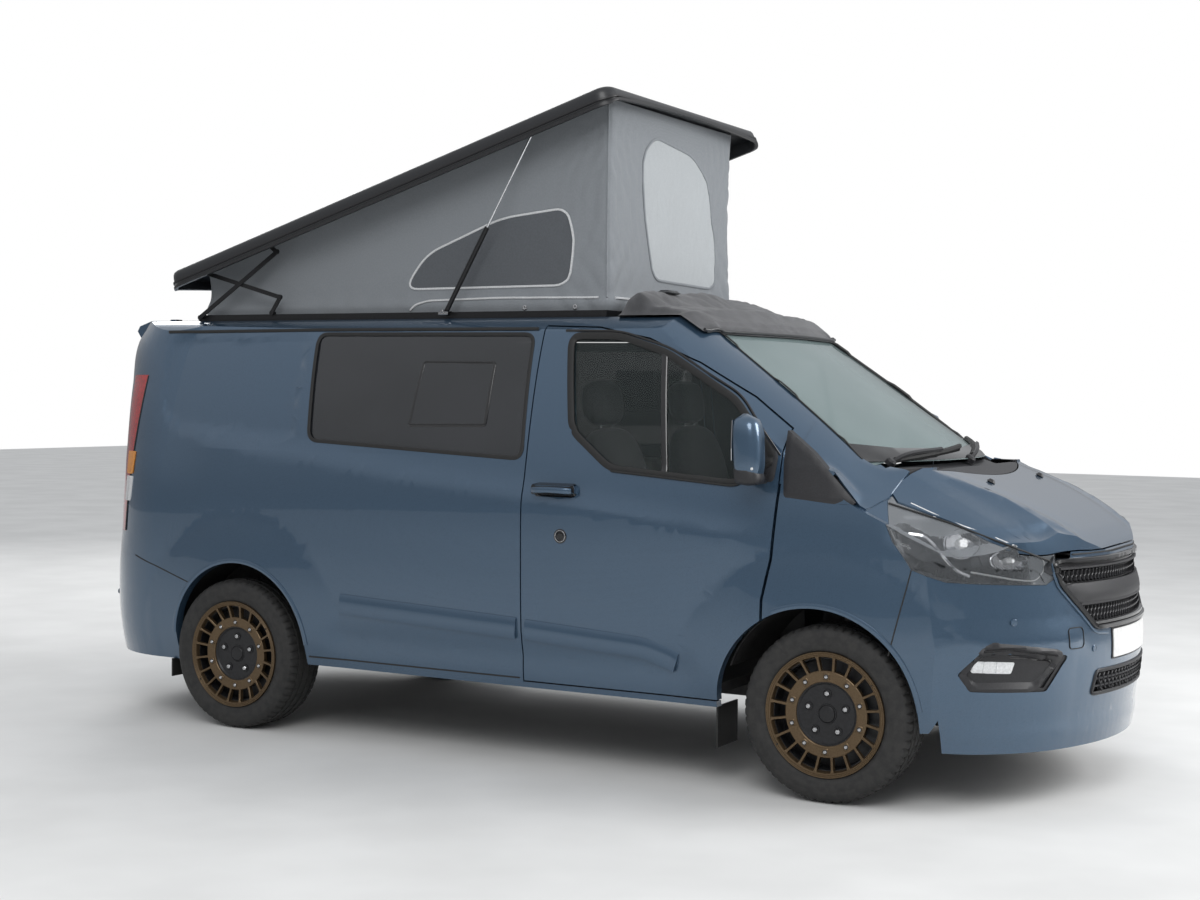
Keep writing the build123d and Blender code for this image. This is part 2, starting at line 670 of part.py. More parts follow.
# Front structure: strut towers, arch liners and the lamp cross panel
tower_top = 1010
with BuildPart() as front_structure:
    add(block((2260 + seat_gap, -440, 300), (2290, 440, 960)))
    with BuildPart(mode=Mode.PRIVATE) as buffers:
        for y in (-340, 300):
            add(block((2262, y, 950), (2288, y + 40, 1200)))
        add(hull(wall + 0.5), mode=Mode.INTERSECT)
    add(buffers.part)
    for side in (1, -1):
        low_y, high_y = sorted((side * 520, side * 930))
        with BuildPart(mode=Mode.PRIVATE) as liner:
            with BuildSketch(Plane.XZ.offset(520 if side < 0 else -930)):
                with Locations((front_axle_x, tyre_radius)):
                    Circle(liner_radius + liner_thickness)
                    Circle(liner_radius, mode=Mode.SUBTRACT)
            extrude(amount=410)
            add(block((0, -1000, 0), (3000, 1000, 500)), mode=Mode.SUBTRACT)
            add(inner_space, mode=Mode.INTERSECT)
        add(liner.part)
        tower_low, tower_high = sorted((side * 520, side * 800))
        add(block((front_axle_x - 110, tower_low, 770), (front_axle_x + 110, tower_high, tower_top)))
        with Locations((front_axle_x, side * kingpin_y, tower_top - 8 - 121)):
            Cylinder(90, 242, mode=Mode.SUBTRACT)
        with Locations((front_axle_x, side * kingpin_y, tower_top - 4)):
            Cylinder(90, 8)
        rail_low, rail_high = sorted((side * 520, side * 550))
        add(block((front_axle_x - 160, rail_low, 470 + seat_gap), (front_axle_x + 160, rail_high, 790)))
save(front_structure.part, "front_structure")

# Engine and gearbox as one plain block
with BuildPart() as engine:
    add(block((1560, -400, 310), (2180, 400, 1010)))
    for x in (1600, 2100):
        add(block((x - 30, -rail_inner + seat_gap, 380), (x + 30, rail_inner - seat_gap, 440)))
save(engine.part, "engine")

# Front subframe with its lower arms
with BuildPart() as front_subframe:
    add(block((1380, -515, 250), (1680, 515, 300 - seat_gap)))
    for side in (1, -1):
        with BuildSketch(Plane.XY.offset(230)):
            with BuildLine():
                Polyline(
                    (1400, side * 420), (1650, side * 420), (front_axle_x + 35, side * (kingpin_y + 25)),
                    (front_axle_x - 35, side * (kingpin_y + 25)), close=True)
            make_face()
        extrude(amount=22)
save(front_subframe.part, "front_subframe")

# Rear axle beam with leaf springs
disc_inner_y = 772
beam_height, beam_radius, beam_half = 275, 28, 640
spring_y, spring_width, spring_thickness = 590, 70, 28
spring_rear, spring_front = -620, 640
with BuildPart() as rear_axle:
    with Locations(Location((rear_axle_x, 0, beam_height), (90, 0, 0))):
        Cylinder(beam_radius, 2 * beam_half)
    for side in (1, -1):
        low_y, high_y = sorted((side * 628, side * 646))
        add(block((rear_axle_x - 45, low_y, beam_height - 30), (rear_axle_x + 45, high_y, tyre_radius + 34)))
        with Locations(Location((rear_axle_x, side * 700, tyre_radius), (90, 0, 0))):
            Cylinder(30, 120)
        with Locations(Location((rear_axle_x, side * 756, tyre_radius), (90, 0, 0))):
            Cylinder(80, 20)
        add(pin((rear_axle_x, tyre_radius), side * 760, side * (disc_inner_y - hinge_gap), 35))
        low_y, high_y = sorted((side * (spring_y - spring_width / 2), side * (spring_y + spring_width / 2)))
        spring_low = beam_height + beam_radius - 2
        ends = (rear_axle_x + spring_rear, rear_axle_x + spring_front)
        with BuildSketch(Plane.XZ.offset(-high_y)):
            with BuildLine():
                ThreePointArc((ends[0], 380), (rear_axle_x, spring_low + spring_thickness), (ends[1], 380))
                Line((ends[1], 380), (ends[1], 380 - spring_thickness))
                ThreePointArc((ends[1], 380 - spring_thickness), (rear_axle_x, spring_low),
                              (ends[0], 380 - spring_thickness))
                Line((ends[0], 380 - spring_thickness), (ends[0], 380))
            make_face()
        extrude(amount=spring_width)
        for x in ends:
            add(block((x - 20, low_y, 350), (x + 20, high_y, floor_low - seat_gap)))
save(rear_axle.part, "rear_axle")

# Exhaust and fuel tank under the floor
with BuildPart() as exhaust:
    with Locations(Location((-150, -250, 290), (0, 90, 0))):
        Cylinder(28, 2300)
    with Locations(Location((-900, -250, 296), (0, 90, 0))):
        Cylinder(74, 560)
    for x in (-1100, 100, 900):
        add(block((x - 15, -258, 300), (x + 15, -242, floor_low - seat_gap)))
save(exhaust.part, "exhaust")
with BuildPart() as fuel_tank:
    add(block((-300, 20, 230), (760, 410, floor_low - seat_gap)))
    fillet(fuel_tank.edges().filter_by(Axis.X), 40)
save(fuel_tank.part, "fuel_tank")

# Mudflaps behind the four wheels
with BuildPart() as mudflaps:
    for side in (1, -1):
        low_y, high_y = sorted((side * 735, side * 925))
        add(block((1052, low_y, 165), (1060, high_y, sill_height - seat_gap)))
        add(block((-1812, low_y, 205), (-1804, high_y, rear_bumper_outline[0][1] - seat_gap)))
save(mudflaps.part, "mudflaps")

# Cab: dashboard, seats and steering wheel
driver_y = -420
wheel_centre = (905, driver_y, 1045)
column_axis = (-cos(radians(steer_column_rise)), 0, sin(radians(steer_column_rise)))
column_plane = Plane(origin=wheel_centre, x_dir=(0, 1, 0), z_dir=column_axis)
with BuildPart() as dashboard:
    with BuildSketch(Plane.XZ.offset(-850)):
        with BuildLine():
            Polyline(
                (1336 - seat_gap, 835), (1080, 835), (1010, 930), (1040, 1060), (1336 - seat_gap, 1125),
                close=True)
        make_face()
    extrude(amount=1700)
    with BuildSketch(column_plane.offset(-column_length)):
        Circle(2 * column_radius)
    extrude(amount=column_length - 60)
    with BuildSketch(column_plane.offset(-column_length - 10)):
        Circle(column_radius + column_clearance)
    extrude(amount=column_length, mode=Mode.SUBTRACT)
save(dashboard.part, "dashboard")

with BuildPart() as front_seats:
    for side in (1, -1):
        centre_y = side * abs(driver_y)
        add(block((380, centre_y - 170, floor_high + seat_gap), (820, centre_y + 170, 700)))
        add(block((340, centre_y - 250, 700), (860, centre_y + 250, 830)))
        with BuildSketch(Plane.XZ.offset(-centre_y - 240)):
            with BuildLine():
                Polyline((340, 760), (480, 760), (330, 1420), (200, 1420), close=True)
            make_face()
        extrude(amount=480)
        with BuildSketch(Plane.XZ.offset(-centre_y - 130)):
            with BuildLine():
                Polyline((215, 1400), (305, 1400), (270, 1640), (170, 1640), close=True)
            make_face()
        extrude(amount=260)
save(front_seats.part, "front_seats")

with BuildPart() as living_unit:
    add(block((-950, 420, floor_high + seat_gap), (60, 790, 1250)))
save(living_unit.part, "living_unit")
with BuildPart() as rear_bench:
    add(block((-1480, -600, floor_high + seat_gap), (-900, 380, 850)))
    with BuildSketch(Plane.XZ.offset(-380)):
        with BuildLine():
            Polyline((-1480, 800), (-1340, 800), (-1460, 1420), (-1590, 1420), close=True)
        make_face()
    extrude(amount=980)
save(rear_bench.part, "rear_bench")

with BuildPart() as steering_wheel:
    with BuildSketch(column_plane):
        Circle(190)
        Circle(160, mode=Mode.SUBTRACT)
        Circle(55)
        Rectangle(340, 36)
    extrude(amount=14, both=True)
    with BuildSketch(column_plane.offset(-column_length)):
        Circle(column_radius)
    extrude(amount=column_length)
save(steering_wheel.part, "steering_wheel")

# Knuckles with their struts, on a vertical kingpin line
for side, hand in ((-1, "right"), (1, "left")):
    with BuildPart() as knuckle:
        with BuildSketch(Plane.XY.offset(252 + seat_gap)):
            with Locations((front_axle_x, side * kingpin_y)):
                Circle(30)
        extrude(amount=tower_top - 8 - 2 * seat_gap - 252)
        with BuildSketch(Plane.XY.offset(790)):
            with Locations((front_axle_x, side * kingpin_y)):
                Circle(62)
        extrude(amount=170)
        low_y, high_y = sorted((side * (kingpin_y - 10), side * (disc_inner_y - 6)))
        with BuildSketch(Plane.XZ.offset(-high_y)):
            with Locations((front_axle_x, tyre_radius)):
                Circle(72)
        extrude(amount=high_y - low_y)
        add(pin((front_axle_x, tyre_radius), side * (disc_inner_y - 10), side * (disc_inner_y - hinge_gap), 35))
    save(knuckle.part, f"knuckle_{hand}")

# Wheels: rim with brake disc and hub, and tyre
rim_outer_y = tyre_width / 2 - 3
disc_face = track_half - disc_inner_y - disc_thickness
with BuildPart() as wheel_master:
    with BuildSketch(Plane.XY):
        with BuildLine():
            Polyline(
                (0, rim_outer_y), (rim_radius, rim_outer_y), (rim_radius, rim_outer_y - 12), (226, rim_outer_y - 18),
                (226, -rim_outer_y + 18), (rim_radius, -rim_outer_y + 12), (rim_radius, -rim_outer_y),
                (216, -rim_outer_y), (212, rim_outer_y - 45), (150, rim_outer_y - 45), (75, rim_outer_y - 60),
                (75, -disc_face), (disc_radius, -disc_face), (disc_radius, -disc_face - disc_thickness),
                (0, -disc_face - disc_thickness), close=True)
        make_face()
    revolve(axis=Axis.Y)
    with BuildSketch(Plane.XZ.offset(-rim_outer_y - 5)):
        with PolarLocations(186, spoke_windows):
            Rectangle(44, 40)
    extrude(amount=60, mode=Mode.SUBTRACT)
with BuildPart() as tyre_master:
    with BuildSketch(Plane.XY):
        with BuildLine():
            Polyline(
                (rim_radius + seat_gap, -tyre_width / 2 + 8), (285, -tyre_width / 2), (318, -tyre_width / 2 + 2),
                (340, -tyre_width / 2 + 22), (tyre_radius, -tyre_width / 2 + 45),
                (tyre_radius, tyre_width / 2 - 45), (340, tyre_width / 2 - 22), (318, tyre_width / 2 - 2),
                (285, tyre_width / 2), (rim_radius + seat_gap, tyre_width / 2 - 8), close=True)
        make_face()
    revolve(axis=Axis.Y)
for x, end in ((front_axle_x, "front"), (rear_axle_x, "rear")):
    for side, hand in ((-1, "right"), (1, "left")):
        place = Location((x, side * track_half, tyre_radius), (0, 0, 0 if side > 0 else 180))
        with BuildPart() as rim:
            add(wheel_master.part.moved(place))
        save(rim.part, f"rim_{end}_{hand}")
        with BuildPart() as tyre:
            add(tyre_master.part.moved(place))
        save(tyre.part, f"tyre_{end}_{hand}")

# Pop-top lid: a shallow tray built on its own tilted plane
lid_plane = Plane(
    origin=(lid_rear_edge[0], 0, lid_rear_edge[1]), x_dir=(cos(radians(lid_tilt)), 0, sin(radians(lid_tilt))),
    z_dir=(-sin(radians(lid_tilt)), 0, cos(radians(lid_tilt))))


def lid_profile(shrink):
    """The lid's cross-section, on the plane at its rear edge."""
    section_plane = Plane(origin=lid_plane.origin, x_dir=(0, 1, 0), z_dir=lid_plane.x_dir)
    half, top, crown = lid_half - shrink, lid_skirt - shrink, lid_crown
    with BuildSketch(section_plane) as profile:
        with BuildLine():
            for side in (1, -1):
                Line((0, -1 if shrink else 0), (side * half, -1 if shrink else 0))
                Line((side * half, -1 if shrink else 0), (side * half, 0.45 * top))
                ThreePointArc(
                    (side * half, 0.45 * top), (side * (half - 12), 0.8 * top), (side * (half - 52), top))
            ThreePointArc((half - 52, top), (0, top + crown), (52 - half, top))
        make_face()
    return profile.sketch


with BuildPart() as roof_lid:
    extrude(lid_profile(0), amount=lid_length)
    with BuildPart(mode=Mode.PRIVATE) as hollow:
        extrude(lid_profile(lid_wall), amount=lid_length - lid_wall)
        with BuildSketch(lid_plane):
            with Locations((lid_length / 2, 0)):
                Rectangle(lid_length - 2 * lid_wall, 2 * lid_half)
        extrude(amount=200, both=True, mode=Mode.INTERSECT)
    add(hollow.part, mode=Mode.SUBTRACT)
    with BuildSketch(lid_plane.offset(-5)):
        Rectangle(60, 2 * (lid_half - 45))
        with Locations((lid_length, 0)):
            Rectangle(60, 2 * (lid_half - 45))
    extrude(amount=skirt_relief + 5, mode=Mode.SUBTRACT)
    for side in (1, -1):
        low_y, high_y = sorted((side * (ear_y - 3), side * (ear_y + 3)))
        with BuildPart(mode=Mode.PRIVATE) as ear:
            with BuildSketch(Plane.XZ.offset(-high_y)):
                with Locations(lid_pivot):
                    Circle(15)
                    Rectangle(30, 120, align=(Align.CENTER, Align.MIN), rotation=lid_tilt)
            extrude(amount=high_y - low_y)
            with BuildPart(mode=Mode.PRIVATE) as tray:
                extrude(lid_profile(lid_wall - 1), amount=lid_length)
            add(tray.part, mode=Mode.INTERSECT)
        add(ear.part)
        add(pin(lid_pivot, side * (lid_link_y - 3), side * ear_y))
save(roof_lid.part, "roof_lid")


# Scissor arms, their links and the gas struts, the same on both sides
cross_rear = rises(cross_pivot, cross_arm_rear, cross_arm_rise)
cross_front = rises(cross_pivot, -cross_arm_front, cross_arm_rise)
hole = pin_radius + pin_clearance
with BuildPart() as roof_arms:
    for side in (1, -1):
        add(bar(arm_foot, arm_top, side * arm_y))
        add(pin(arm_top, side * arm_y, side * (lid_link_y + 3)))
        add(pin(cross_pivot, side * arm_y, side * (cross_arm_y - 3)))
        add(pin(arm_foot, side * (arm_y - 6), side * (arm_y + 6), hole), mode=Mode.SUBTRACT)
save(roof_arms.part, "roof_arms")
with BuildPart() as lid_links:
    for side in (1, -1):
        add(bar(arm_top, lid_pivot, side * lid_link_y))
        for point in (arm_top, lid_pivot):
            add(pin(point, side * (lid_link_y - 6), side * (lid_link_y + 6), hole), mode=Mode.SUBTRACT)
save(lid_links.part, "lid_links")
with BuildPart() as cross_arms:
    for side in (1, -1):
        add(bar(cross_rear, cross_front, side * cross_arm_y))
        add(pin(cross_pivot, side * (cross_arm_y - 6), side * (cross_arm_y + 6), hole), mode=Mode.SUBTRACT)
save(cross_arms.part, "cross_arms")
with BuildPart() as base_links:
    for side in (1, -1):
        add(bar(base_link_foot, cross_front, side * base_link_y))
        add(pin(base_link_foot, side * (base_link_y - 6), side * (base_link_y + 6), hole), mode=Mode.SUBTRACT)
save(base_links.part, "base_links")

strut_length = hypot(strut_top[0] - strut_foot[0], strut_top[1] - strut_foot[1])
strut_rise = degrees(atan2(strut_top[1] - strut_foot[1], strut_top[0] - strut_foot[0]))
strut_tube, strut_bore, strut_rod = 11, 5.2, 5
strut_direction = (cos(radians(strut_rise)), 0, sin(radians(strut_rise)))
with BuildPart() as strut_cylinders:
    for side in (1, -1):
        foot = Plane(origin=(strut_foot[0], side * strut_y, strut_foot[1]), z_dir=strut_direction)
        with BuildSketch(foot.offset(9)):
            Circle(strut_tube)
        extrude(amount=strut_body_length - 9)
        with BuildSketch(foot.offset(30)):
            Circle(strut_bore)
        extrude(amount=strut_body_length, mode=Mode.SUBTRACT)
        add(pin(strut_foot, side * (strut_y - 6), side * (strut_y + 6), 14))
        add(pin(strut_foot, side * (strut_y - 8), side * (strut_y + 8), hole), mode=Mode.SUBTRACT)
save(strut_cylinders.part, "strut_cylinders")
with BuildPart() as strut_rods:
    for side in (1, -1):
        foot = Plane(origin=(strut_foot[0], side * strut_y, strut_foot[1]), z_dir=strut_direction)
        with BuildSketch(foot.offset(40 + strut_stroke)):
            Circle(strut_rod)
        extrude(amount=strut_length - 40 - strut_stroke - 8)
        add(pin(strut_top, side * (strut_y - 6.5), side * (strut_y + 6.5), 12))
        add(pin(strut_top, side * (strut_y - 8), side * (strut_y + 8), hole), mode=Mode.SUBTRACT)
save(strut_rods.part, "strut_rods")

# Roof frame: the ring that the tent stands on, with notches for the pivot plates
clear_hull = hull(-seat_gap)
frame_rear_x = tent_rear_x - rail_end
pivots = ((arm_foot, arm_y), (base_link_foot, base_link_y), (strut_foot, strut_y + 3))
with BuildPart() as roof_frame:
    add(block((frame_rear_x, -rail_outer_y, 1860), (tent_front_x + 20, rail_outer_y, roof_frame_top)))
    add(block((tent_rear_x + 20, -rail_inner_y + 40, 1800), (tent_front_x - 30, rail_inner_y - 40, 2000)),
        mode=Mode.SUBTRACT)
    add(clear_hull, mode=Mode.SUBTRACT)
    for side in (1, -1):
        with BuildSketch(Plane.XY.offset(1850)):
            with BuildLine():
                Polyline((frame_rear_x, side * (rail_outer_y - rail_corner)), (frame_rear_x, side * rail_outer_y),
                         (frame_rear_x + rail_corner, side * rail_outer_y), close=True)
            make_face()
        extrude(amount=100, mode=Mode.SUBTRACT)
        low_y, high_y = sorted((side * (rail_outer_y - plate_thickness - seat_gap), side * (rail_outer_y + 1)))
        for point, reach in pivots:
            add(block((point[0] - plate_half - seat_gap, low_y, plate_low - seat_gap),
                      (point[0] + plate_half + seat_gap, high_y, roof_frame_top + 1)), mode=Mode.SUBTRACT)
save(roof_frame.part, "roof_frame")

# Pivot plates let into the rails, each with its pin
with BuildPart() as roof_pivots:
    for side in (1, -1):
        low_y, high_y = sorted((side * (rail_outer_y - plate_thickness), side * rail_outer_y))
        for point, reach in pivots:
            add(block((point[0] - plate_half, low_y, plate_low),
                      (point[0] + plate_half, high_y, max(point[1] + pin_radius + 1, roof_frame_top))))
            add(pin(point, side * (rail_outer_y - plate_thickness / 2), side * (reach + 3)))
save(roof_pivots.part, "roof_pivots")

# Tent: four thin walls from the roof frame up to the lid
ceiling = lid_skirt - lid_wall - seat_gap
with BuildPart() as roof_tent:
    add(block((tent_rear_x, -tent_half, roof_frame_top + seat_gap), (tent_front_x, tent_half, 3000)))
    add(block((tent_rear_x + tent_wall, tent_wall - tent_half, 1900),
              (tent_front_x - tent_wall, tent_half - tent_wall, 3000)), mode=Mode.SUBTRACT)
    with BuildSketch(lid_plane.offset(ceiling)):
        Rectangle(7000, 2000)
    extrude(amount=1500, mode=Mode.SUBTRACT)
save(roof_tent.part, "roof_tent")

# Soft cover over the front of the roof and the top of the windscreen
cover_depth = 22
with BuildPart() as roof_cover:
    add(hull(-cover_depth))
    add(hull(-1), mode=Mode.SUBTRACT)
    add(block((tent_front_x + 22, -700, 1840), (930, 700, 2100)), mode=Mode.INTERSECT)
save(roof_cover.part, "roof_cover")
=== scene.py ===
import json
from math import cos, hypot, pi, radians, sin

import bmesh
import bpy
import numpy as np
from mathutils import Matrix, Vector
from mathutils.bvhtree import BVHTree
from mathutils.geometry import delaunay_2d_cdt

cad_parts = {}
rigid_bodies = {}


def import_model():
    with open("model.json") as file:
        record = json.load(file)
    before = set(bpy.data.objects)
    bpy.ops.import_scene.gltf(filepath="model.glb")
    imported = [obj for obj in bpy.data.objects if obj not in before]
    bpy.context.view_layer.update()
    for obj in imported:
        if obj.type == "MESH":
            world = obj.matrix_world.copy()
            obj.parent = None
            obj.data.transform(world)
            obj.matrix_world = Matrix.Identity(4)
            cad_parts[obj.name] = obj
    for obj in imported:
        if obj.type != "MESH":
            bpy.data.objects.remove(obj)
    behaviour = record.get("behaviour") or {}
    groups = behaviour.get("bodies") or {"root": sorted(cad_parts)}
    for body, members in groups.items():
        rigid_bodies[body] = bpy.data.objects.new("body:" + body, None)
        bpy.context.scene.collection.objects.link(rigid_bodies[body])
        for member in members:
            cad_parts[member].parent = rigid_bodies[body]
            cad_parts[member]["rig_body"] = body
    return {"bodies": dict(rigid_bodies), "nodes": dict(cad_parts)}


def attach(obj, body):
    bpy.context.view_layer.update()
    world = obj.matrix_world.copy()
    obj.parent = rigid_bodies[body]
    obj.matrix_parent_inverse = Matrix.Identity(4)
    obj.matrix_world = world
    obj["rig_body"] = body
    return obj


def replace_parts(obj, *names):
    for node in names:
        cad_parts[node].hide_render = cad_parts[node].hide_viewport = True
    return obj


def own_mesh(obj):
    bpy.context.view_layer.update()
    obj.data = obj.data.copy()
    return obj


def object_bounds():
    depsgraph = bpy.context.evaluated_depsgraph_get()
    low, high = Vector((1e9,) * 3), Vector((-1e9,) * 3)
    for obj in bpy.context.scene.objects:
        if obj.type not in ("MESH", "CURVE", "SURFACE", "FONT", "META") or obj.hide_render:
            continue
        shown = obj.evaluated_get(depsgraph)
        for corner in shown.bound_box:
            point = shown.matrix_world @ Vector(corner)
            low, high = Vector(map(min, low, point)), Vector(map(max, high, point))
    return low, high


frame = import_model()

# Camper van with a raised pop-top roof. Metres, in the frame of the CAD model:
# +X forward, +Y to the vehicle's left, +Z up, the ground at zero.
cad_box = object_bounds()
nodes = frame["nodes"]
node_body = {n: o["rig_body"] for n, o in nodes.items()}

# Camera of the photograph: place, heading, downward pitch and roll, and lens
camera_place = (4.1094, -7.4646, 1.5849)
camera_yaw, camera_pitch, camera_roll = 28.8547, 1.8528, 0.6802
camera_lens, camera_sensor = 54.25, 36

# Wheels
front_axle_x = 1.5265
rear_axle_x = -1.4065
tyre_radius = 0.3465
track_half = 0.849
wheels = {
    "front_right": (front_axle_x, -1), "front_left": (front_axle_x, 1),
    "rear_right": (rear_axle_x, -1), "rear_left": (rear_axle_x, 1),
}

# Levels of the body for the smooth surface through them: height, half width, and how far the
# nose and the tail stand back
levels = np.array([
    (0.23, 0.925, 0.045, 0.045), (0.42, 0.968, 0.012, 0.01), (0.62, 0.986, 0.0, 0.0),
    (0.9, 0.993, 0.035, 0.022), (1.1, 0.985, 0.05, 0.032), (1.3, 0.955, 0.06, 0.04),
    (1.6, 0.89, 0.06, 0.058), (1.8, 0.828, 0.06, 0.082), (1.95, 0.765, 0.06, 0.19),
])
bonnet_profile = np.array([(1.829, 1.29), (2.094, 1.188), (2.266, 1.1), (2.395, 1.01), (2.431, 0.972)])
bonnet_fall = np.array([(0.54, 0.04), (0.7, -0.035), (0.8, -0.105), (0.93, -0.19)])

# Wheel arches: centre x, centre height, radius, and how far the flare reaches
arches = ((1.4845, 0.348, 0.412), (-1.3685, 0.385, 0.39))
flare_reach, flare_lift = 0.215, 0.02

# The crease along the side, x and height
swage = np.array([(-1.725, 1.371), (-1.59, 1.313), (-1.004, 1.269), (-0.455, 1.198), (0.158, 1.138),
                  (0.773, 1.069), (1.258, 1.012)])

# Pop-top lid: rear lower edge, tilt, length, half width, crown and corner radius, and the tent under it
lid_rear = Vector((-1.969, 0, 2.048))
lid_tilt = radians(17.17)
lid_length, lid_half, lid_crown, lid_radius = 2.545, 0.78, 0.028, 0.075
tent_front, tent_rear, tent_half, tent_base = 0.376, -1.88, 0.622, 1.9336


def clear_start():
    """Removes the default scene's objects, and keeps the frame."""
    kept = set(nodes.values()) | set(frame["bodies"].values())
    for o in list(bpy.data.objects):
        if o not in kept:
            bpy.data.objects.remove(o)


# Materials

def make(name, dark, light, rough=0.5, metal=0.0, grain=60.0, rough_spread=0.06, bump=0.0, bump_grain=None,
         weave=0.0, **sockets):
    """A procedural material: two near colours mixed by noise, with its own roughness variation and bump."""
    m = bpy.data.materials.new(name)
    m.use_nodes = True
    tree = m.node_tree
    new, link = tree.nodes.new, tree.links.new
    shader = tree.nodes["Principled BSDF"]
    place = new("ShaderNodeTexCoord").outputs["Object"]
    speckle = new("ShaderNodeTexNoise")
    speckle.inputs["Scale"].default_value = grain
    speckle.inputs["Detail"].default_value = 3.0
    link(place, speckle.inputs["Vector"])
    ramp = new("ShaderNodeValToRGB")
    ramp.color_ramp.elements[0].position, ramp.color_ramp.elements[1].position = 0.35, 0.65
    ramp.color_ramp.elements[0].color = (*dark, 1)
    ramp.color_ramp.elements[1].color = (*light, 1)
    link(speckle.outputs["Fac"], ramp.inputs["Fac"])
    link(ramp.outputs["Color"], shader.inputs["Base Color"])
    spread = new("ShaderNodeMapRange")
    spread.inputs["To Min"].default_value = max(rough - rough_spread, 0.01)
    spread.inputs["To Max"].default_value = rough + rough_spread
    link(speckle.outputs["Fac"], spread.inputs["Value"])
    link(spread.outputs["Result"], shader.inputs["Roughness"])
    shader.inputs["Metallic"].default_value = metal
    for socket, value in sockets.items():
        shader.inputs[socket.replace("_", " ")].default_value = value
    height = None
    if weave:
        threads = []
        for direction in ("X", "Z"):
            wave = new("ShaderNodeTexWave")
            wave.bands_direction = direction
            wave.inputs["Scale"].default_value = weave
            wave.inputs["Distortion"].default_value = 1.5
            link(place, wave.inputs["Vector"])
            threads.append(wave.outputs["Fac"])
        both = new("ShaderNodeMath")
        both.operation = "MULTIPLY"
        link(threads[0], both.inputs[0])
        link(threads[1], both.inputs[1])
        height = both.outputs["Value"]
    elif bump:
        relief = new("ShaderNodeTexNoise")
        relief.inputs["Scale"].default_value = bump_grain or grain
        relief.inputs["Detail"].default_value = 4.0
        link(place, relief.inputs["Vector"])
        height = relief.outputs["Fac"]
    if height is not None:
        bumps = new("ShaderNodeBump")
        bumps.inputs["Strength"].default_value = 0.6
        bumps.inputs["Distance"].default_value = bump
        link(height, bumps.inputs["Height"])
        link(bumps.outputs["Normal"], shader.inputs["Normal"])
    return m


def see_through(m, low, high):
    """Glass that shows what is behind it straight on, and reflects at a slant."""
    tree = m.node_tree
    facing = tree.nodes.new("ShaderNodeLayerWeight")
    facing.inputs["Blend"].default_value = 0.35
    spread = tree.nodes.new("ShaderNodeMapRange")
    spread.inputs["To Min"].default_value = low
    spread.inputs["To Max"].default_value = high
    tree.links.new(facing.outputs["Fresnel"], spread.inputs["Value"])
    tree.links.new(spread.outputs["Result"], tree.nodes["Principled BSDF"].inputs["Alpha"])
    return m


paint = make("blue_paint", (0.05, 0.094, 0.152), (0.058, 0.108, 0.172), 0.28, 0.55, 900, 0.03,
             Coat_Weight=1.0, Coat_Roughness=0.03, bump=0.00002, bump_grain=500)
lining = make("inner_lining", (0.03, 0.032, 0.036), (0.045, 0.047, 0.052), 0.8, 0, 90, bump=0.0004,
              bump_grain=300)
dark_glass = see_through(make("tinted_glass", (0.016, 0.018, 0.021), (0.022, 0.024, 0.028), 0.03, 0, 3, 0.01,
                              Specular_IOR_Level=0.9), 0.86, 1.0)
clear_glass = see_through(make("cab_glass", (0.05, 0.066, 0.066), (0.06, 0.078, 0.078), 0.02, 0, 3, 0.01,
                               Specular_IOR_Level=0.8), 0.14, 0.9)
screen_glass = see_through(make("screen_glass", (0.27, 0.35, 0.35), (0.3, 0.385, 0.385), 0.02, 0, 3,
                                0.01, Specular_IOR_Level=0.9), 0.4, 0.95)
black_plastic = make("black_plastic", (0.014, 0.014, 0.016), (0.024, 0.024, 0.027), 0.48, 0, 240, 0.08,
                     bump=0.0003, bump_grain=900)
gloss_black = make("gloss_black", (0.006, 0.006, 0.007), (0.011, 0.011, 0.012), 0.12, 0, 60, 0.04,
                   Coat_Weight=0.5)
rubber = make("seal_rubber", (0.01, 0.01, 0.01), (0.018, 0.018, 0.018), 0.62, 0, 200, 0.08)
tyre_rubber = make("tyre_rubber", (0.016, 0.016, 0.016), (0.03, 0.029, 0.028), 0.74, 0, 40, 0.08,
                   bump=0.0005, bump_grain=420)
bronze = make("bronze_wheel", (0.115, 0.078, 0.044), (0.15, 0.104, 0.06), 0.36, 0.75, 160, 0.08,
              bump=0.0001, bump_grain=900)
wheel_black = make("wheel_black", (0.01, 0.01, 0.011), (0.018, 0.018, 0.02), 0.38, 0.2, 120, 0.08)
steel = make("bright_steel", (0.42, 0.42, 0.43), (0.6, 0.6, 0.61), 0.22, 1.0, 160, 0.08)
disc_iron = make("disc_iron", (0.1, 0.09, 0.085), (0.22, 0.2, 0.19), 0.42, 0.9, 90, 0.12)
chassis_black = make("underbody", (0.012, 0.012, 0.013), (0.03, 0.029, 0.028), 0.72, 0.1, 30, 0.1,
                     bump=0.0015, bump_grain=60)
cast_metal = make("cast_metal", (0.16, 0.16, 0.165), (0.26, 0.26, 0.27), 0.5, 0.8, 60, 0.1, bump=0.0008,
                  bump_grain=220)
lid_skin = make("lid_skin", (0.011, 0.012, 0.014), (0.017, 0.018, 0.021), 0.4, 0, 300, 0.06,
                bump=0.0003, bump_grain=700, Coat_Weight=0.25, Coat_Roughness=0.2)
edge_trim = make("lid_edging", (0.012, 0.012, 0.013), (0.022, 0.022, 0.024), 0.42, 0, 200)
frame_metal = make("black_metal", (0.012, 0.012, 0.013), (0.022, 0.022, 0.024), 0.38, 0.4, 200, 0.08)
tent_cloth = make("tent_cloth", (0.215, 0.232, 0.25), (0.235, 0.252, 0.27), 0.78, 0, 150, 0.05,
                  weave=420, bump=0.0004, Sheen_Weight=0.15)
tent_pale = make("tent_window_cloth", (0.4, 0.425, 0.44), (0.43, 0.455, 0.47), 0.6, 0, 120, 0.05,
                 weave=420, bump=0.0004, Sheen_Weight=0.15)
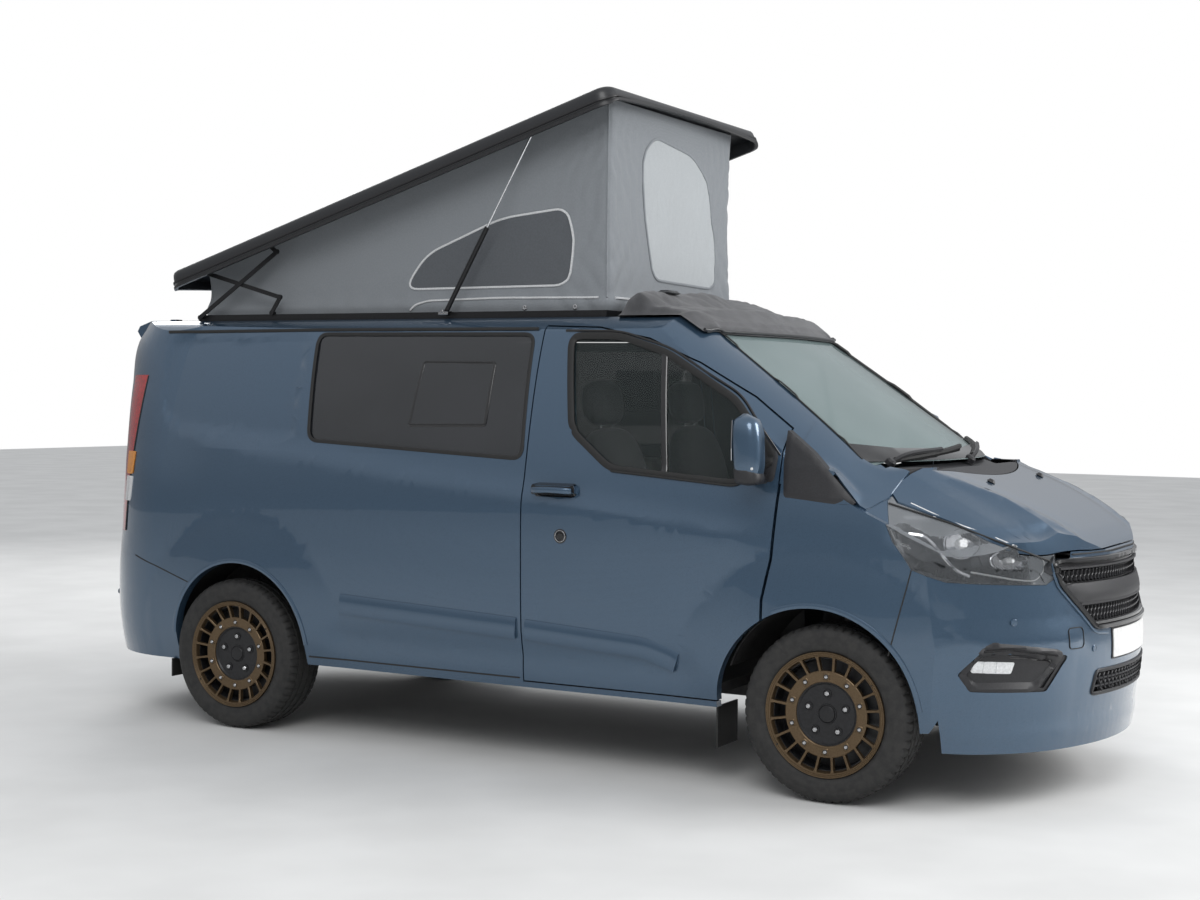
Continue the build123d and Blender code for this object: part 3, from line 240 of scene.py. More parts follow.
tent_mesh = make("tent_mesh", (0.096, 0.104, 0.115), (0.11, 0.119, 0.131), 0.85, 0, 150, 0.05,
                 weave=260, bump=0.0006)
piping = make("light_piping", (0.55, 0.56, 0.57), (0.68, 0.69, 0.7), 0.55, 0, 180)
cover_cloth = make("cover_cloth", (0.04, 0.041, 0.045), (0.072, 0.073, 0.079), 0.7, 0, 16, 0.08,
                   weave=380, bump=0.0005, Sheen_Weight=0.25)
seat_cloth = make("seat_cloth", (0.035, 0.036, 0.038), (0.06, 0.061, 0.064), 0.88, 0, 90, 0.05,
                  weave=300, bump=0.0008, Sheen_Weight=0.2)
cabinet_board = make("cabinet_board", (0.42, 0.4, 0.37), (0.55, 0.53, 0.49), 0.5, 0, 14, 0.06,
                     bump=0.0003, bump_grain=120)
chrome = make("lamp_chrome", (0.72, 0.73, 0.75), (0.86, 0.87, 0.89), 0.1, 1.0, 40, 0.05)
lamp_lens = see_through(make("lamp_lens", (0.3, 0.32, 0.34), (0.36, 0.38, 0.4), 0.03, 0, 4, 0.01,
                             Specular_IOR_Level=0.8), 0.1, 0.85)
lamp_smoke = make("lamp_housing", (0.03, 0.032, 0.036), (0.06, 0.064, 0.07), 0.22, 0.5, 60, 0.06)
red_lens = make("red_lens", (0.3, 0.008, 0.01), (0.42, 0.014, 0.016), 0.12, 0, 50, 0.03, Coat_Weight=0.8)
white_lens = make("white_lens", (0.66, 0.67, 0.68), (0.8, 0.81, 0.82), 0.14, 0, 120, 0.04, Coat_Weight=0.8)
amber_lens = make("amber_lens", (0.62, 0.22, 0.02), (0.75, 0.3, 0.04), 0.14, 0, 120, 0.04, Coat_Weight=0.6)
plate_white = make("blank_plate", (0.74, 0.74, 0.73), (0.82, 0.82, 0.81), 0.34, 0, 60, 0.04)
mirror_glass = make("mirror_glass", (0.7, 0.72, 0.74), (0.76, 0.78, 0.8), 0.03, 1.0, 10, 0.01)

# The slot of a piece, by its material, where the call names none
slot_of = {"paint": [paint], "black_trim": [rubber, gloss_black, black_plastic], "dark_glass": [dark_glass],
           "lamp_clear": [chrome, white_lens, plate_white], "lamp_red": [red_lens],
           "seat_fabric": [seat_cloth], "tent_fabric": [tent_cloth, tent_pale, tent_mesh, piping],
           "cover_fabric": [cover_cloth]}
slot_of = {m.name: slot for slot, group in slot_of.items() for m in group}


# Body skin

def smooth_through(heights, values):
    """A smooth curve through level values, less the straight runs between them."""
    step = np.diff(values) / np.diff(heights)
    slope = np.empty_like(values)
    slope[1:-1] = (step[:-1] + step[1:]) / 2
    slope[0], slope[-1] = step[0], step[-1]

    def difference(z):
        i = np.clip(np.searchsorted(heights, z) - 1, 0, len(heights) - 2)
        h = heights[i + 1] - heights[i]
        t = np.clip((z - heights[i]) / h, 0, 1)
        straight = values[i] + (values[i + 1] - values[i]) * t
        curve = ((2 * t ** 3 - 3 * t ** 2 + 1) * values[i] + (t ** 3 - 2 * t ** 2 + t) * h * slope[i]
                 + (3 * t ** 2 - 2 * t ** 3) * values[i + 1] + (t ** 3 - t ** 2) * h * slope[i + 1])
        inside = (z > heights[0]) & (z < heights[-1])
        return np.where(inside, curve - straight, 0)
    return difference


half_more = smooth_through(levels[:, 0], levels[:, 1])
nose_more = smooth_through(levels[:6, 0], -levels[:6, 2])
tail_more = smooth_through(levels[:, 0], levels[:, 3])
bonnet_more = smooth_through(bonnet_profile[:, 0], bonnet_profile[:, 1])


def half_at(z):
    return np.interp(z, levels[:, 0], levels[:, 1])


def ease(value, low, high):
    """0 below low, 1 above high, smooth between."""
    t = np.clip((value - low) / (high - low), 0, 1)
    return t * t * (3 - 2 * t)


def ridge(value, reach):
    """1 at zero, falling to 0 at the reach, rounded at the top."""
    t = np.clip(np.abs(value) / reach, 0, 1)
    return (1 - t) ** 2 * (1 + 2 * t)


def plan_half(x, z):
    """Half width of the lower body at a place along it, from the side's and the nose corner's curves."""
    nose = levels[:6, 2]
    front = 2.4865 - np.interp(z, levels[:6, 0], nose) - 0.525
    side = half_at(z) - np.minimum(x, front) ** 2 / 200
    t = np.clip((x - front) / 0.42, 0, 1)
    chord = side + (0.5 - side) * t + 4 * 0.062 * t * (1 - t) * 0.66
    return np.where(x > front, chord, side)


def soften(p):
    """Turns the straight runs between the body's levels into one smooth surface, the same for every panel."""
    p = p.copy()
    x, y, z = p[:, 0].copy(), p[:, 1].copy(), p[:, 2].copy()
    p[:, 1] = y * (1 + half_more(z) / half_at(z))
    p[:, 0] += nose_more(np.minimum(z, 1.29)) * ease(x, 1.75, 2.35) * (z < 1.3)
    p[:, 0] += tail_more(z) * ease(-x, 1.75, 2.35)
    top = ease(z, 0.93, 1.02) * ease(x, 1.8, 1.9)
    p[:, 2] += bonnet_more(np.clip(x, 1.829, 2.431)) * top * ease(0.86 - np.abs(y), 0, 0.12)
    corner_x = 1.9615 - np.interp(z, levels[:6, 0], levels[:6, 2])
    along = np.where(x > corner_x, (x - corner_x) * 1.7, x - corner_x)
    cut = 0.017 * ridge(along, 0.3) * ease(1.36 - z, 0, 0.16) * ease(np.abs(y), 0.45, 0.75)
    p[:, 1] -= np.sign(y) * cut
    crease = 0.01 * ridge(np.abs(y) - 0.625, 0.12) + 0.004 * ridge(np.abs(y) - 0.7, 0.06)
    p[:, 2] -= crease * top
    shoulder = np.interp(x, [1.6, 1.693, 1.916, 2.152, 2.361], [-0.02, -0.018, 0.0, 0.01, 0.01])
    p[:, 2] += shoulder * ease(np.abs(y), 0.62, 0.78) * ease(z, 0.95, 1.06) * ease(x, 1.45, 1.6)
    edge_y = plan_half(x, np.full(len(x), 1.1))
    edge_z = 0.972 + (2.431 - x) * 0.5317 + 1.1326 * np.interp(edge_y, bonnet_fall[:, 0], bonnet_fall[:, 1])
    edge_y = plan_half(x, edge_z)
    away = np.hypot(np.abs(y) - edge_y, z - edge_z)
    turn_in = 0.016 * ridge(away, 0.1) * ease(x, 1.72, 1.86) * ease(2.4 - x, 0, 0.15)
    p[:, 1] -= np.sign(y) * turn_in * 0.88
    p[:, 2] -= turn_in * 0.48
    return p


def distance_to_path(x, z, path):
    """Signed height above an open path in side view, with 0 weight beyond its ends."""
    height = z - np.interp(x, path[:, 0], path[:, 1])
    ends = ease(x, path[0, 0] - 0.12, path[0, 0] + 0.22) * ease(-x, -path[-1, 0] - 0.1, -path[-1, 0] + 0.2)
    return height, ends


recess = np.array([(-1.9135, 1.818), (-1.9265, 1.711), (-1.9145, 1.519), (-1.9095, 1.462), (-1.7855, 1.379),
                   (-1.09, 1.345), (-1.09, 1.818)])


def inside_depth(x, z, outline):
    """How far inside a convex outline each point is, negative outside."""
    depth = np.full(x.shape, 9.0)
    turn = np.sign(sum(a[0] * b[1] - b[0] * a[1] for a, b in zip(outline, np.roll(outline, -1, 0))))
    for a, b in zip(outline, np.roll(outline, -1, 0)):
        length = hypot(b[0] - a[0], b[1] - a[1])
        away = ((b[0] - a[0]) * (z - a[1]) - (b[1] - a[1]) * (x - a[0])) / length * turn
        depth = np.minimum(depth, away)
    return depth


def side_features(p):
    """Pressed forms of the sides: wheel flares, the long crease, the door crease and the recesses."""
    x, z = p[:, 0], p[:, 2]
    out = np.zeros(len(p))
    for centre_x, centre_z, radius in arches:
        rise = np.maximum(z - centre_z, 0)
        d = (np.hypot(x - centre_x, rise) - radius) / flare_reach
        fade = ease(z, 0.2, 0.48)
        out += flare_lift * np.clip(1 - d, 0, 1) ** 0.85 * fade * np.where(d > -0.2, 1, 0)
    height, ends = distance_to_path(x, z, swage)
    above, below = np.clip(1 - height / 0.1, 0, 1), np.clip(1 + height / 0.33, 0, 1)
    out += 0.012 * np.where(height > 0, above ** 2, below ** 1.6) * ends
    sill = z - 0.47
    out -= 0.012 * np.clip(1 - np.abs(sill) / 0.1, 0, 1) * ease(x, -0.95, -0.75) * ease(-x, -1.02, -0.92)
    out -= 0.008 * ease(inside_depth(x, z, recess), 0, 0.018)
    return out


def nose_features(p):
    """Pressed forms of the nose: the bumper's fold and the hollow under it."""
    x, y, z = p[:, 0], p[:, 1], p[:, 2]
    front = ease(x, 1.9, 2.1) * ease(1.0 - z, 0.06, 0.14)
    fold = 0.01 * np.clip(1 - np.abs(z - 0.655) / 0.09, 0, 1) * ease(np.abs(y), 0.42, 0.52)
    lip = 0.012 * ease(0.36 - z, 0, 0.07)
    return (fold + lip) * front


def bonnet_features(p):
    """The bonnet's raised middle, with a crease on each side."""
    x, y, z = p[:, 0], p[:, 1], p[:, 2]
    crease_y = np.interp(x, [1.8, 2.1, 2.4], [0.6, 0.545, 0.43])
    off = np.abs(y) - crease_y
    raise_middle = 0.007 * ease(-off, 0, 0.16) + 0.01 * np.clip(1 - np.abs(off) / 0.055, 0, 1) ** 1.3
    return raise_middle * ease(z, 0.97, 1.05) * ease(x, 1.8, 1.86) * ease(2.43 - x, 0, 0.1)


def shape(p):
    """Every panel of the shell goes through this one function, so that neighbours stay flush."""
    q = soften(p)
    side = np.sign(p[:, 1]) * ease(np.abs(p[:, 1]), 0.6, 0.76)
    screen = ease(1.42 - p[:, 2] + np.maximum(1.3 - p[:, 0], 0) * 4, 0, 0.2)
    q[:, 1] += side * side_features(p) * ease(2.15 - p[:, 0], 0, 0.25) * ease(p[:, 0] + 2.36, 0, 0.2) * screen
    q[:, 0] += nose_features(p)
    q[:, 2] += bonnet_features(p)
    low = np.array(cad_box[0]) + 0.0002
    high = np.array(cad_box[1]) - 0.0002
    return np.clip(q, low, high)


def cut_along(points, triangles, marks, axis, planes, snap=0.0009):
    """Cuts triangles along planes across one axis, keeping the mesh closed."""
    for level in planes:
        height = points[:, axis] - level
        signs = np.where(np.abs(height) < snap, 0, np.sign(height)).astype(int)
        s = signs[triangles]
        crossing = (s.min(1) < 0) & (s.max(1) > 0)
        if not crossing.any():
            continue
        kept, kept_marks = triangles[~crossing], marks[~crossing]
        old, old_marks, s = triangles[crossing], marks[crossing], s[crossing]
        touching = (s == 0).any(1)
        first = np.where(touching, np.argmax(s == 0, 1), np.argmax(s == -s.sum(1)[:, None], 1))
        rows = np.arange(len(old))
        a, b, c = old[rows, first], old[rows, (first + 1) % 3], old[rows, (first + 2) % 3]
        plain = ~touching
        ends = np.concatenate([np.stack([a[plain], b[plain]], 1), np.stack([a[plain], c[plain]], 1),
                               np.stack([b[touching], c[touching]], 1)])
        pairs, where = np.unique(np.sort(ends, 1), axis=0, return_inverse=True)
        where = where.reshape(-1) + len(points)
        h0, h1 = height[pairs[:, 0]], height[pairs[:, 1]]
        t = (h0 / (h0 - h1))[:, None]
        points = np.vstack([points, points[pairs[:, 0]] * (1 - t) + points[pairs[:, 1]] * t])
        n = plain.sum()
        ab, ac, bc = where[:n], where[n:2 * n], where[2 * n:]
        ap, bp, cp, at, bt, ct = a[plain], b[plain], c[plain], a[touching], b[touching], c[touching]
        triangles = np.vstack([
            kept, np.stack([ap, ab, ac], 1), np.stack([ab, bp, cp], 1), np.stack([ab, cp, ac], 1),
            np.stack([at, bt, bc], 1), np.stack([at, bc, ct], 1)])
        marks = np.concatenate([kept_marks, old_marks[plain], old_marks[plain], old_marks[plain],
                                old_marks[touching], old_marks[touching]])
    return points, triangles, marks


def mesh_of(node):
    """A CAD node's points and triangles, with doubled points joined."""
    data = nodes[node].data
    data.calc_loop_triangles()
    points = np.empty(len(data.vertices) * 3)
    data.vertices.foreach_get("co", points)
    triangles = np.empty(len(data.loop_triangles) * 3, int)
    data.loop_triangles.foreach_get("vertices", triangles)
    points = points.reshape(-1, 3)
    _, first, same = np.unique(np.round(points, 5), axis=0, return_index=True, return_inverse=True)
    triangles = same.reshape(-1)[triangles].reshape(-1, 3)
    whole = (triangles[:, 0] != triangles[:, 1]) & (triangles[:, 1] != triangles[:, 2])
    whole &= triangles[:, 0] != triangles[:, 2]
    return points[first], triangles[whole]


def inward_faces(points, triangles):
    """Which triangles face the inside of the vehicle."""
    a, b, c = (points[triangles[:, i]] for i in range(3))
    normal = np.cross(b - a, c - a)
    normal /= np.maximum(np.linalg.norm(normal, axis=1), 1e-12)[:, None]
    centre = (a + b + c) / 3
    core = np.clip(centre, (-1.9, -0.4, 0.75), (1.5, 0.4, 1.25))
    away = centre - core
    away /= np.maximum(np.linalg.norm(away, axis=1), 1e-9)[:, None]
    return (normal * away).sum(1) < -0.25


def put(name, points, faces, materials, marks=None, body="body", slot=None, sharp=35, merge=0.0):
    """A new piece of the scene from points and faces, which rides on a body."""
    data = bpy.data.meshes.new(name)
    data.from_pydata([tuple(p) for p in points], [], [tuple(int(i) for i in f) for f in faces])
    if merge:
        form = bmesh.new()
        if marks is not None:
            data.polygons.foreach_set("material_index", np.array(marks, int))
        form.from_mesh(data)
        bmesh.ops.remove_doubles(form, verts=form.verts, dist=merge)
        bmesh.ops.recalc_face_normals(form, faces=form.faces)
        form.to_mesh(data)
        form.free()
    elif marks is not None:
        data.polygons.foreach_set("material_index", np.array(marks, int))
    materials = materials if isinstance(materials, list) else [materials]
    for m in materials:
        data.materials.append(m)
    data.polygons.foreach_set("use_smooth", [True] * len(data.polygons))
    data.set_sharp_from_angle(angle=radians(sharp))
    data.update()
    o = bpy.data.objects.new(name, data)
    bpy.context.scene.collection.objects.link(o)
    if body:
        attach(o, body)
    slot = slot or slot_of.get(materials[0].name)
    return o


skin_points, skin_triangles = [], []


def dress(node, outer, slot, steps=(0.03, 0.04, 0.02), inner=None, skin=True):
    """A panel with the CAD node's own outline and openings, and the smooth surface and pressings."""
    points, triangles = mesh_of(node)
    inward = inward_faces(points, triangles).astype(int)
    for axis, step in enumerate(steps):
        if step:
            low, high = points[:, axis].min(), points[:, axis].max()
            first = int(np.ceil(low / step))
            planes = [k * step + 0.00037 for k in range(first, int(high / step) + 1)]
            points, triangles, inward = cut_along(points, triangles, inward, axis, planes)
    points = shape(points)
    if skin:
        skin_triangles.append(triangles[inward == 0] + sum(len(p) for p in skin_points))
        skin_points.append(points)
    piece = put(node + "_skin", points, triangles, [outer, inner or outer], inward,
                node_body[node], slot, 32)
    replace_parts(piece, node)
    return piece


# Placing things on the skin

def skin_tree():
    return BVHTree.FromPolygons([tuple(p) for p in np.vstack(skin_points)],
                                [tuple(int(i) for i in t) for t in np.vstack(skin_triangles)])


# Rays beside a point's own, in steps of near, so that a gap between panels is bridged, and where they start
near = 0.007
beside = ((0, 0), (1, 0), (-1, 0), (0, 1), (0, -1))
start_x, start_y, start_z = 3.2, 1.6, 3.6


def on_skin(place, out, bare, flip):
    """Places flat points on the skin along one direction, or at the bare distance where no skin lies."""
    toward = -Vector(out)

    def land(a, b, lift=0.0):
        hits = [skin.ray_cast(place(a + i * near, b + j * near), toward, 6)[3] for i, j in beside]
        distance = min((d for d in hits if d is not None), default=bare(b))
        return place(a, b) + toward * (distance - lift)
    land.out, land.flip = Vector(out), flip
    return land


def on_side(side):
    """Places side-view points (x, height) on the skin of one side."""
    return on_skin(lambda a, b: Vector((a, side * start_y, b)), (0, side, 0),
                   lambda b: start_y - half_at(b), side > 0)


# Front-view and rear-view points (y, height), and plan points (x, y)
on_nose = on_skin(lambda a, b: Vector((start_x, a, b)), (1, 0, 0), lambda b: 0.75, False)
on_tail = on_skin(lambda a, b: Vector((-start_x, a, b)), (-1, 0, 0), lambda b: 0.75, True)
on_top = on_skin(lambda a, b: Vector((a, b, start_z)), (0, 0, 1), lambda b: 1.7, False)


def rounded(points, radius, closed=True, arc=6):
    """The same outline with its corners rounded."""
    result, n = [], len(points)
    for i, p in enumerate(points):
        if not closed and i in (0, n - 1):
            result.append(Vector(p))
            continue
        p, before, after = Vector(p), Vector(points[i - 1]), Vector(points[(i + 1) % n])
        reach = min(radius, (before - p).length * 0.45, (after - p).length * 0.45)
        start, end = p + (before - p).normalized() * reach, p + (after - p).normalized() * reach
        for k in range(arc + 1):
            t = k / arc
            result.append(start * (1 - t) ** 2 + p * 2 * t * (1 - t) + end * t ** 2)
    return result


def oblong(low_x, high_x, low_z, high_z):
    return [(low_x, low_z), (high_x, low_z), (high_x, high_z), (low_x, high_z)]


def divided(points, spacing, closed=True):
    """The outline with points no further apart than the spacing."""
    result, n = [], len(points)
    for i in range(n if closed else n - 1):
        a, b = Vector(points[i]), Vector(points[(i + 1) % n])
        count = max(1, int(np.ceil((b - a).length / spacing)))
        result += [a.lerp(b, k / count) for k in range(count)]
    return result if closed else result + [Vector(points[-1])]


def within(x, y, outline):
    odd, j = False, len(outline) - 1
    for i in range(len(outline)):
        xi, yi, xj, yj = outline[i][0], outline[i][1], outline[j][0], outline[j][1]
        if (yi > y) != (yj > y) and x < (xj - xi) * (y - yi) / (yj - yi) + xi:
            odd = not odd
        j = i
    return odd


def near_edge(x, y, outline):
    best, n = 9.0, len(outline)
    for i in range(n):
        ax, ay, bx, by = *outline[i], *outline[(i + 1) % n]
        dx, dy = bx - ax, by - ay
        t = max(0, min(1, ((x - ax) * dx + (y - ay) * dy) / max(dx * dx + dy * dy, 1e-12)))
        best = min(best, hypot(x - ax - dx * t, y - ay - dy * t))
    return best


def border_of(faces):
    """The directed edges that only one triangle has."""
    directed = dict.fromkeys((f[i], f[(i + 1) % 3]) for f in faces for i in range(3))
    return [(a, b) for a, b in directed if (b, a) not in directed]


def loft(rings, size):
    """Faces between successive closed rings of points, with a cap at each end."""
    faces = [(k * size + i, k * size + (i + 1) % size, (k + 1) * size + (i + 1) % size, (k + 1) * size + i)
             for k in range(rings - 1) for i in range(size)]
    return faces + [tuple(reversed(range(size))), tuple(range((rings - 1) * size, rings * size))]


def patch(name, outline, land, material, body="body", slot=None, lift=0.002, depth=0.003, spacing=0.02,
          holes=(), corner=0.0, crown=0.0, edge=0.0, sharp=35):
    """A sheet with a flat outline, laid on a surface. Crown lifts its middle, edge rounds its rim."""
    outline = rounded(outline, corner) if corner else [Vector(p) for p in outline]
    outline = divided(outline, spacing)
    holes = [divided(rounded(h, corner) if corner else h, spacing) for h in holes]
    points, edges = [], []
    for loop in [outline] + holes:
        start = len(points)
        points += [Vector(p[:2]) for p in loop]
        edges += [(start + i, start + (i + 1) % len(loop)) for i in range(len(loop))]
    loops = [[(p[0], p[1]) for p in loop] for loop in [outline] + holes]
    xs, ys = [p[0] for p in outline], [p[1] for p in outline]
    row = 0
    y = min(ys) + spacing / 2
    while y < max(ys):
        x = min(xs) + spacing * (0.5 if row % 2 else 1.0)
        while x < max(xs):
            if within(x, y, loops[0]) and not any(within(x, y, h) for h in loops[1:]):
                if min(near_edge(x, y, loop) for loop in loops) > spacing * 0.45:
                    points.append(Vector((x, y)))
            x += spacing
        y += spacing * 0.87
        row += 1
    meshed = delaunay_2d_cdt(points, edges, [], 1, 1e-7)
    flat, faces = meshed[0], []
    for f in meshed[2]:
        x, y = sum(flat[i][0] for i in f) / 3, sum(flat[i][1] for i in f) / 3
        if not any(within(x, y, h) for h in loops[1:]):
            faces.append(f)
    solid, over = [], []
    for p in flat:
        away = min(near_edge(p[0], p[1], loop) for loop in loops)
        height = lift
        if edge:
            height -= edge * (1 - min(away / (edge * 1.5), 1)) ** 2
        if crown:
            height += crown * float(ease(np.array(away), 0, 0.07))
        solid.append(land(p[0], p[1], height))
        over.append(land.out)
    n = len(flat)
    solid += [solid[i] - over[i] * (depth + lift) for i in range(n)]
    rim = border_of(faces)
    skins = [tuple(f) for f in faces] + [tuple(n + i for i in reversed(f)) for f in faces]
    skins += [(b, a, n + a, n + b) for a, b in rim]
    if land.flip:
        skins = [tuple(reversed(f)) for f in skins]
    return put(name, solid, skins, material, None, body, slot, sharp)


def frames_along(path, outs, closed):
    """At each point of a line on a surface: the direction across it, and the direction out."""
    result, n = [], len(path)
    for i in range(n):
        a = path[i - 1] if closed or i else path[i]
        b = path[(i + 1) % n] if closed or i < n - 1 else path[i]
        along = (b - a).normalized()
        across = along.cross(outs[i]).normalized()
        result.append((across, across.cross(along).normalized()))
    return result


def band(name, path, outs, section, material, body="body", slot=None, closed=False, sharp=40):
    """A moulded strip of a closed cross-section, given as (across, out), along a line in space."""
    turned = frames_along(path, outs, closed)
    points, m, n = [], len(section), len(path)
    for p, (across, out) in zip(path, turned):
        points += [p + across * a + out * b for a, b in section]
    faces = []
    for i in range(n if closed else n - 1):
        j = (i + 1) % n
        faces += [(i * m + k, i * m + (k + 1) % m, j * m + (k + 1) % m, j * m + k) for k in range(m)]
    if not closed:
        faces += [tuple(range(m)), tuple(reversed(range((n - 1) * m, n * m)))]
    return put(name, points, faces, material, None, body, slot, sharp, merge=1e-5)


def strip(name, points, land, width, height, material, body="body", slot=None, closed=False, corner=0.0,
          spacing=0.018, sink=0.003, lift=0.0):
    """A seal, trim or shut line along a flat path laid on the skin."""
    path = rounded(points, corner, closed) if corner else [Vector(p) for p in points]
    path = divided(path, spacing, closed)
    landed = [land(p[0], p[1], lift) for p in path]
    section = [(-width / 2, -sink), (-width / 2, height * 0.55), (-width * 0.3, height),
               (width * 0.3, height), (width / 2, height * 0.55), (width / 2, -sink)]
    return band(name, landed, [land.out] * len(landed), section, material, body, slot, closed)


def tube(name, path, radius, material, body="body", slot=None, closed=False, sides=10, up=(0, 0, 1)):
    ring = [(radius * cos(2 * pi * k / sides), radius * sin(2 * pi * k / sides)) for k in range(sides)]
    return band(name, [Vector(p) for p in path], [Vector(up)] * len(path), ring, material, body, slot,
                closed, 60)


def curve_through(points, count):
    """A smooth line through a few points in space."""
    points = [Vector(p) for p in points]
    points = [2 * points[0] - points[1]] + points + [2 * points[-1] - points[-2]]
    result = []
    for i in range(1, len(points) - 2):
        a, b, c, d = points[i - 1:i + 3]
        for k in range(count):
            t = k / count
            result.append(0.5 * (2 * b + (c - a) * t + (2 * a - 5 * b + 4 * c - d) * t * t
                                 + (3 * b - a - 3 * c + d) * t ** 3))
    return result + [points[-2]]


class Form:
    """Collects several closed shapes in one mesh."""

    def __init__(self):
        self.points, self.faces, self.marks = [], [], []

    def add(self, points, faces, mark=0, place=None):
        start = len(self.points)
        self.points += [(place @ Vector(p)) if place else Vector(p) for p in points]
        self.faces += [tuple(start + i for i in f) for f in faces]
        self.marks += [mark] * len(faces)

    def lathe(self, profile, mark=0, place=None, segments=48, closed=True, turn=0.0):
        """Turns a profile of (radius, height) round the local Z axis."""
        points, n = [], len(profile)
        for k in range(segments):
            angle = 2 * pi * (k / segments) + turn
            points += [(r * cos(angle), r * sin(angle), h) for r, h in profile]
        faces = []
        for k in range(segments):
            j = (k + 1) % segments
            faces += [(k * n + i, j * n + i, j * n + (i + 1) % n, k * n + (i + 1) % n)
                      for i in range(n if closed else n - 1)]
        self.add(points, faces, mark, place)

    def block(self, low, high, mark=0, place=None, round_by=0.0, taper=1.0):
        """A block with chamfered edges, whose far end may be narrower."""
        (x0, y0, z0), (x1, y1, z1) = low, high
        r = min(round_by, (x1 - x0) / 3, (y1 - y0) / 3, (z1 - z0) / 3)
        cx, cy = (x0 + x1) / 2, (y0 + y1) / 2
        points = []
        for z, inset, scale in ((z0, r, 1), (z0 + r, 0, 1), (z1 - r, 0, taper), (z1, r, taper)):
            hx, hy = ((x1 - x0) / 2 - inset) * scale, ((y1 - y0) / 2 - inset) * scale
            c = r * scale
            ring = [(hx - c, hy), (c - hx, hy), (-hx, hy - c), (-hx, c - hy), (c - hx, -hy), (hx - c, -hy),
                    (hx, c - hy), (hx, hy - c)]
            points += [(cx + px, cy + py, z) for px, py in ring]
        self.add(points, loft(4, 8), mark, place)

    def put(self, name, materials, body="body", slot=None, sharp=35, merge=1e-5):
        return put(name, self.points, self.faces, materials, self.marks, body, slot, sharp, merge)


def upright(point, axis, turn=0.0):
    """Places a turned shape with its axis along a direction."""
    rotation = Vector((0, 0, 1)).rotation_difference(Vector(axis)).to_matrix().to_4x4()
    return Matrix.Translation(Vector(point)) @ rotation @ Matrix.Rotation(turn, 4, "Z")


def pad(name, stands_for, low, high, place=None):
    """A crowned closed pad between two corners, whose sides pull in between its corners."""
    pillow, cells, power = 0.05, 14, 3.2
    low, high = Vector(low), Vector(high)
    middle, half = (low + high) / 2, (high - low) / 2
    box = bmesh.new()
    bmesh.ops.create_cube(box, size=2)
    bmesh.ops.subdivide_edges(box, edges=box.edges[:], cuts=cells, use_grid_fill=True)
    box.verts.index_update()
    points = []
    for v in box.verts:
        c = Vector(v.co)
        size = (abs(c.x) ** power + abs(c.y) ** power + abs(c.z) ** power) ** (1 / power)
        c /= size
        puff = 1 + pillow * (1 - min(abs(v.co.x), 1) ** 2) * (1 - min(abs(v.co.z), 1) ** 2)
        c.y *= puff
        points.append(Vector((middle.x + c.x * half.x, middle.y + c.y * half.y, middle.z + c.z * half.z)))
    form = Form()
    form.add(points, [tuple(v.index for v in f.verts) for f in box.faces], 0, place)
    box.free()
    piece = form.put(name, seat_cloth)
    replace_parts(piece, stands_for)


# Camera, floor and light

clear_start()
forward = Vector((-sin(radians(camera_yaw)) * cos(radians(camera_pitch)),
                  cos(radians(camera_yaw)) * cos(radians(camera_pitch)), -sin(radians(camera_pitch))))
level_right = Vector((cos(radians(camera_yaw)), sin(radians(camera_yaw)), 0))
level_up = level_right.cross(forward)
turn = radians(camera_roll)
camera_right = level_right * cos(turn) + level_up * sin(turn)
camera_up = level_up * cos(turn) - level_right * sin(turn)
camera_data = bpy.data.cameras.new("camera")
camera_data.lens, camera_data.sensor_width = camera_lens, camera_sensor
camera = bpy.data.objects.new("camera", camera_data)
camera.matrix_world = Matrix([
    (camera_right[i], camera_up[i], -forward[i], camera_place[i]) for i in range(3)] + [(0, 0, 0, 1)])
bpy.context.scene.collection.objects.link(camera)
bpy.context.scene.camera = camera
bpy.context.scene.view_settings.view_transform = "Standard"

pale_floor = make("pale_floor", (0.7, 0.7, 0.69), (0.76, 0.76, 0.75), 0.85, 0, 1.5)
floor = put("floor", [(-30, -30, 0), (30, -30, 0), (30, 30, 0), (-30, 30, 0)], [(0, 1, 2, 3)], pale_floor,
            body=None)

world = bpy.data.worlds.new("studio")
bpy.context.scene.world = world
world.use_nodes = True
tree = world.node_tree
tree.nodes.clear()
sky_place = tree.nodes.new("ShaderNodeTexCoord")
sky_split = tree.nodes.new("ShaderNodeSeparateXYZ")
sky_ramp = tree.nodes.new("ShaderNodeValToRGB")
sky_ramp.color_ramp.elements[0].position, sky_ramp.color_ramp.elements[0].color = 0.0, (0.3, 0.3, 0.31, 1)
sky_ramp.color_ramp.elements[1].position, sky_ramp.color_ramp.elements[1].color = 0.75, (0.98, 1.0, 1.03, 1)
for position, tone in ((0.1, 0.42), (0.3, 0.8)):
    sky_ramp.color_ramp.elements.new(position).color = (tone * 0.97, tone * 0.99, tone * 1.02, 1)
tree.links.new(sky_place.outputs["Generated"], sky_split.inputs["Vector"])
tree.links.new(sky_split.outputs["Z"], sky_ramp.inputs["Fac"])
soft_light = tree.nodes.new("ShaderNodeBackground")
soft_light.inputs["Strength"].default_value = 0.72
tree.links.new(sky_ramp.outputs["Color"], soft_light.inputs["Color"])
white = tree.nodes.new("ShaderNodeBackground")
white.inputs["Color"].default_value = (1, 1, 1, 1)
ray = tree.nodes.new("ShaderNodeLightPath")
clear_rays = tree.nodes.new("ShaderNodeMath")
clear_rays.operation = "MAXIMUM"
tree.links.new(ray.outputs["Is Camera Ray"], clear_rays.inputs[0])
tree.links.new(ray.outputs["Is Transmission Ray"], clear_rays.inputs[1])
mixed = tree.nodes.new("ShaderNodeMixShader")
tree.links.new(clear_rays.outputs["Value"], mixed.inputs["Fac"])
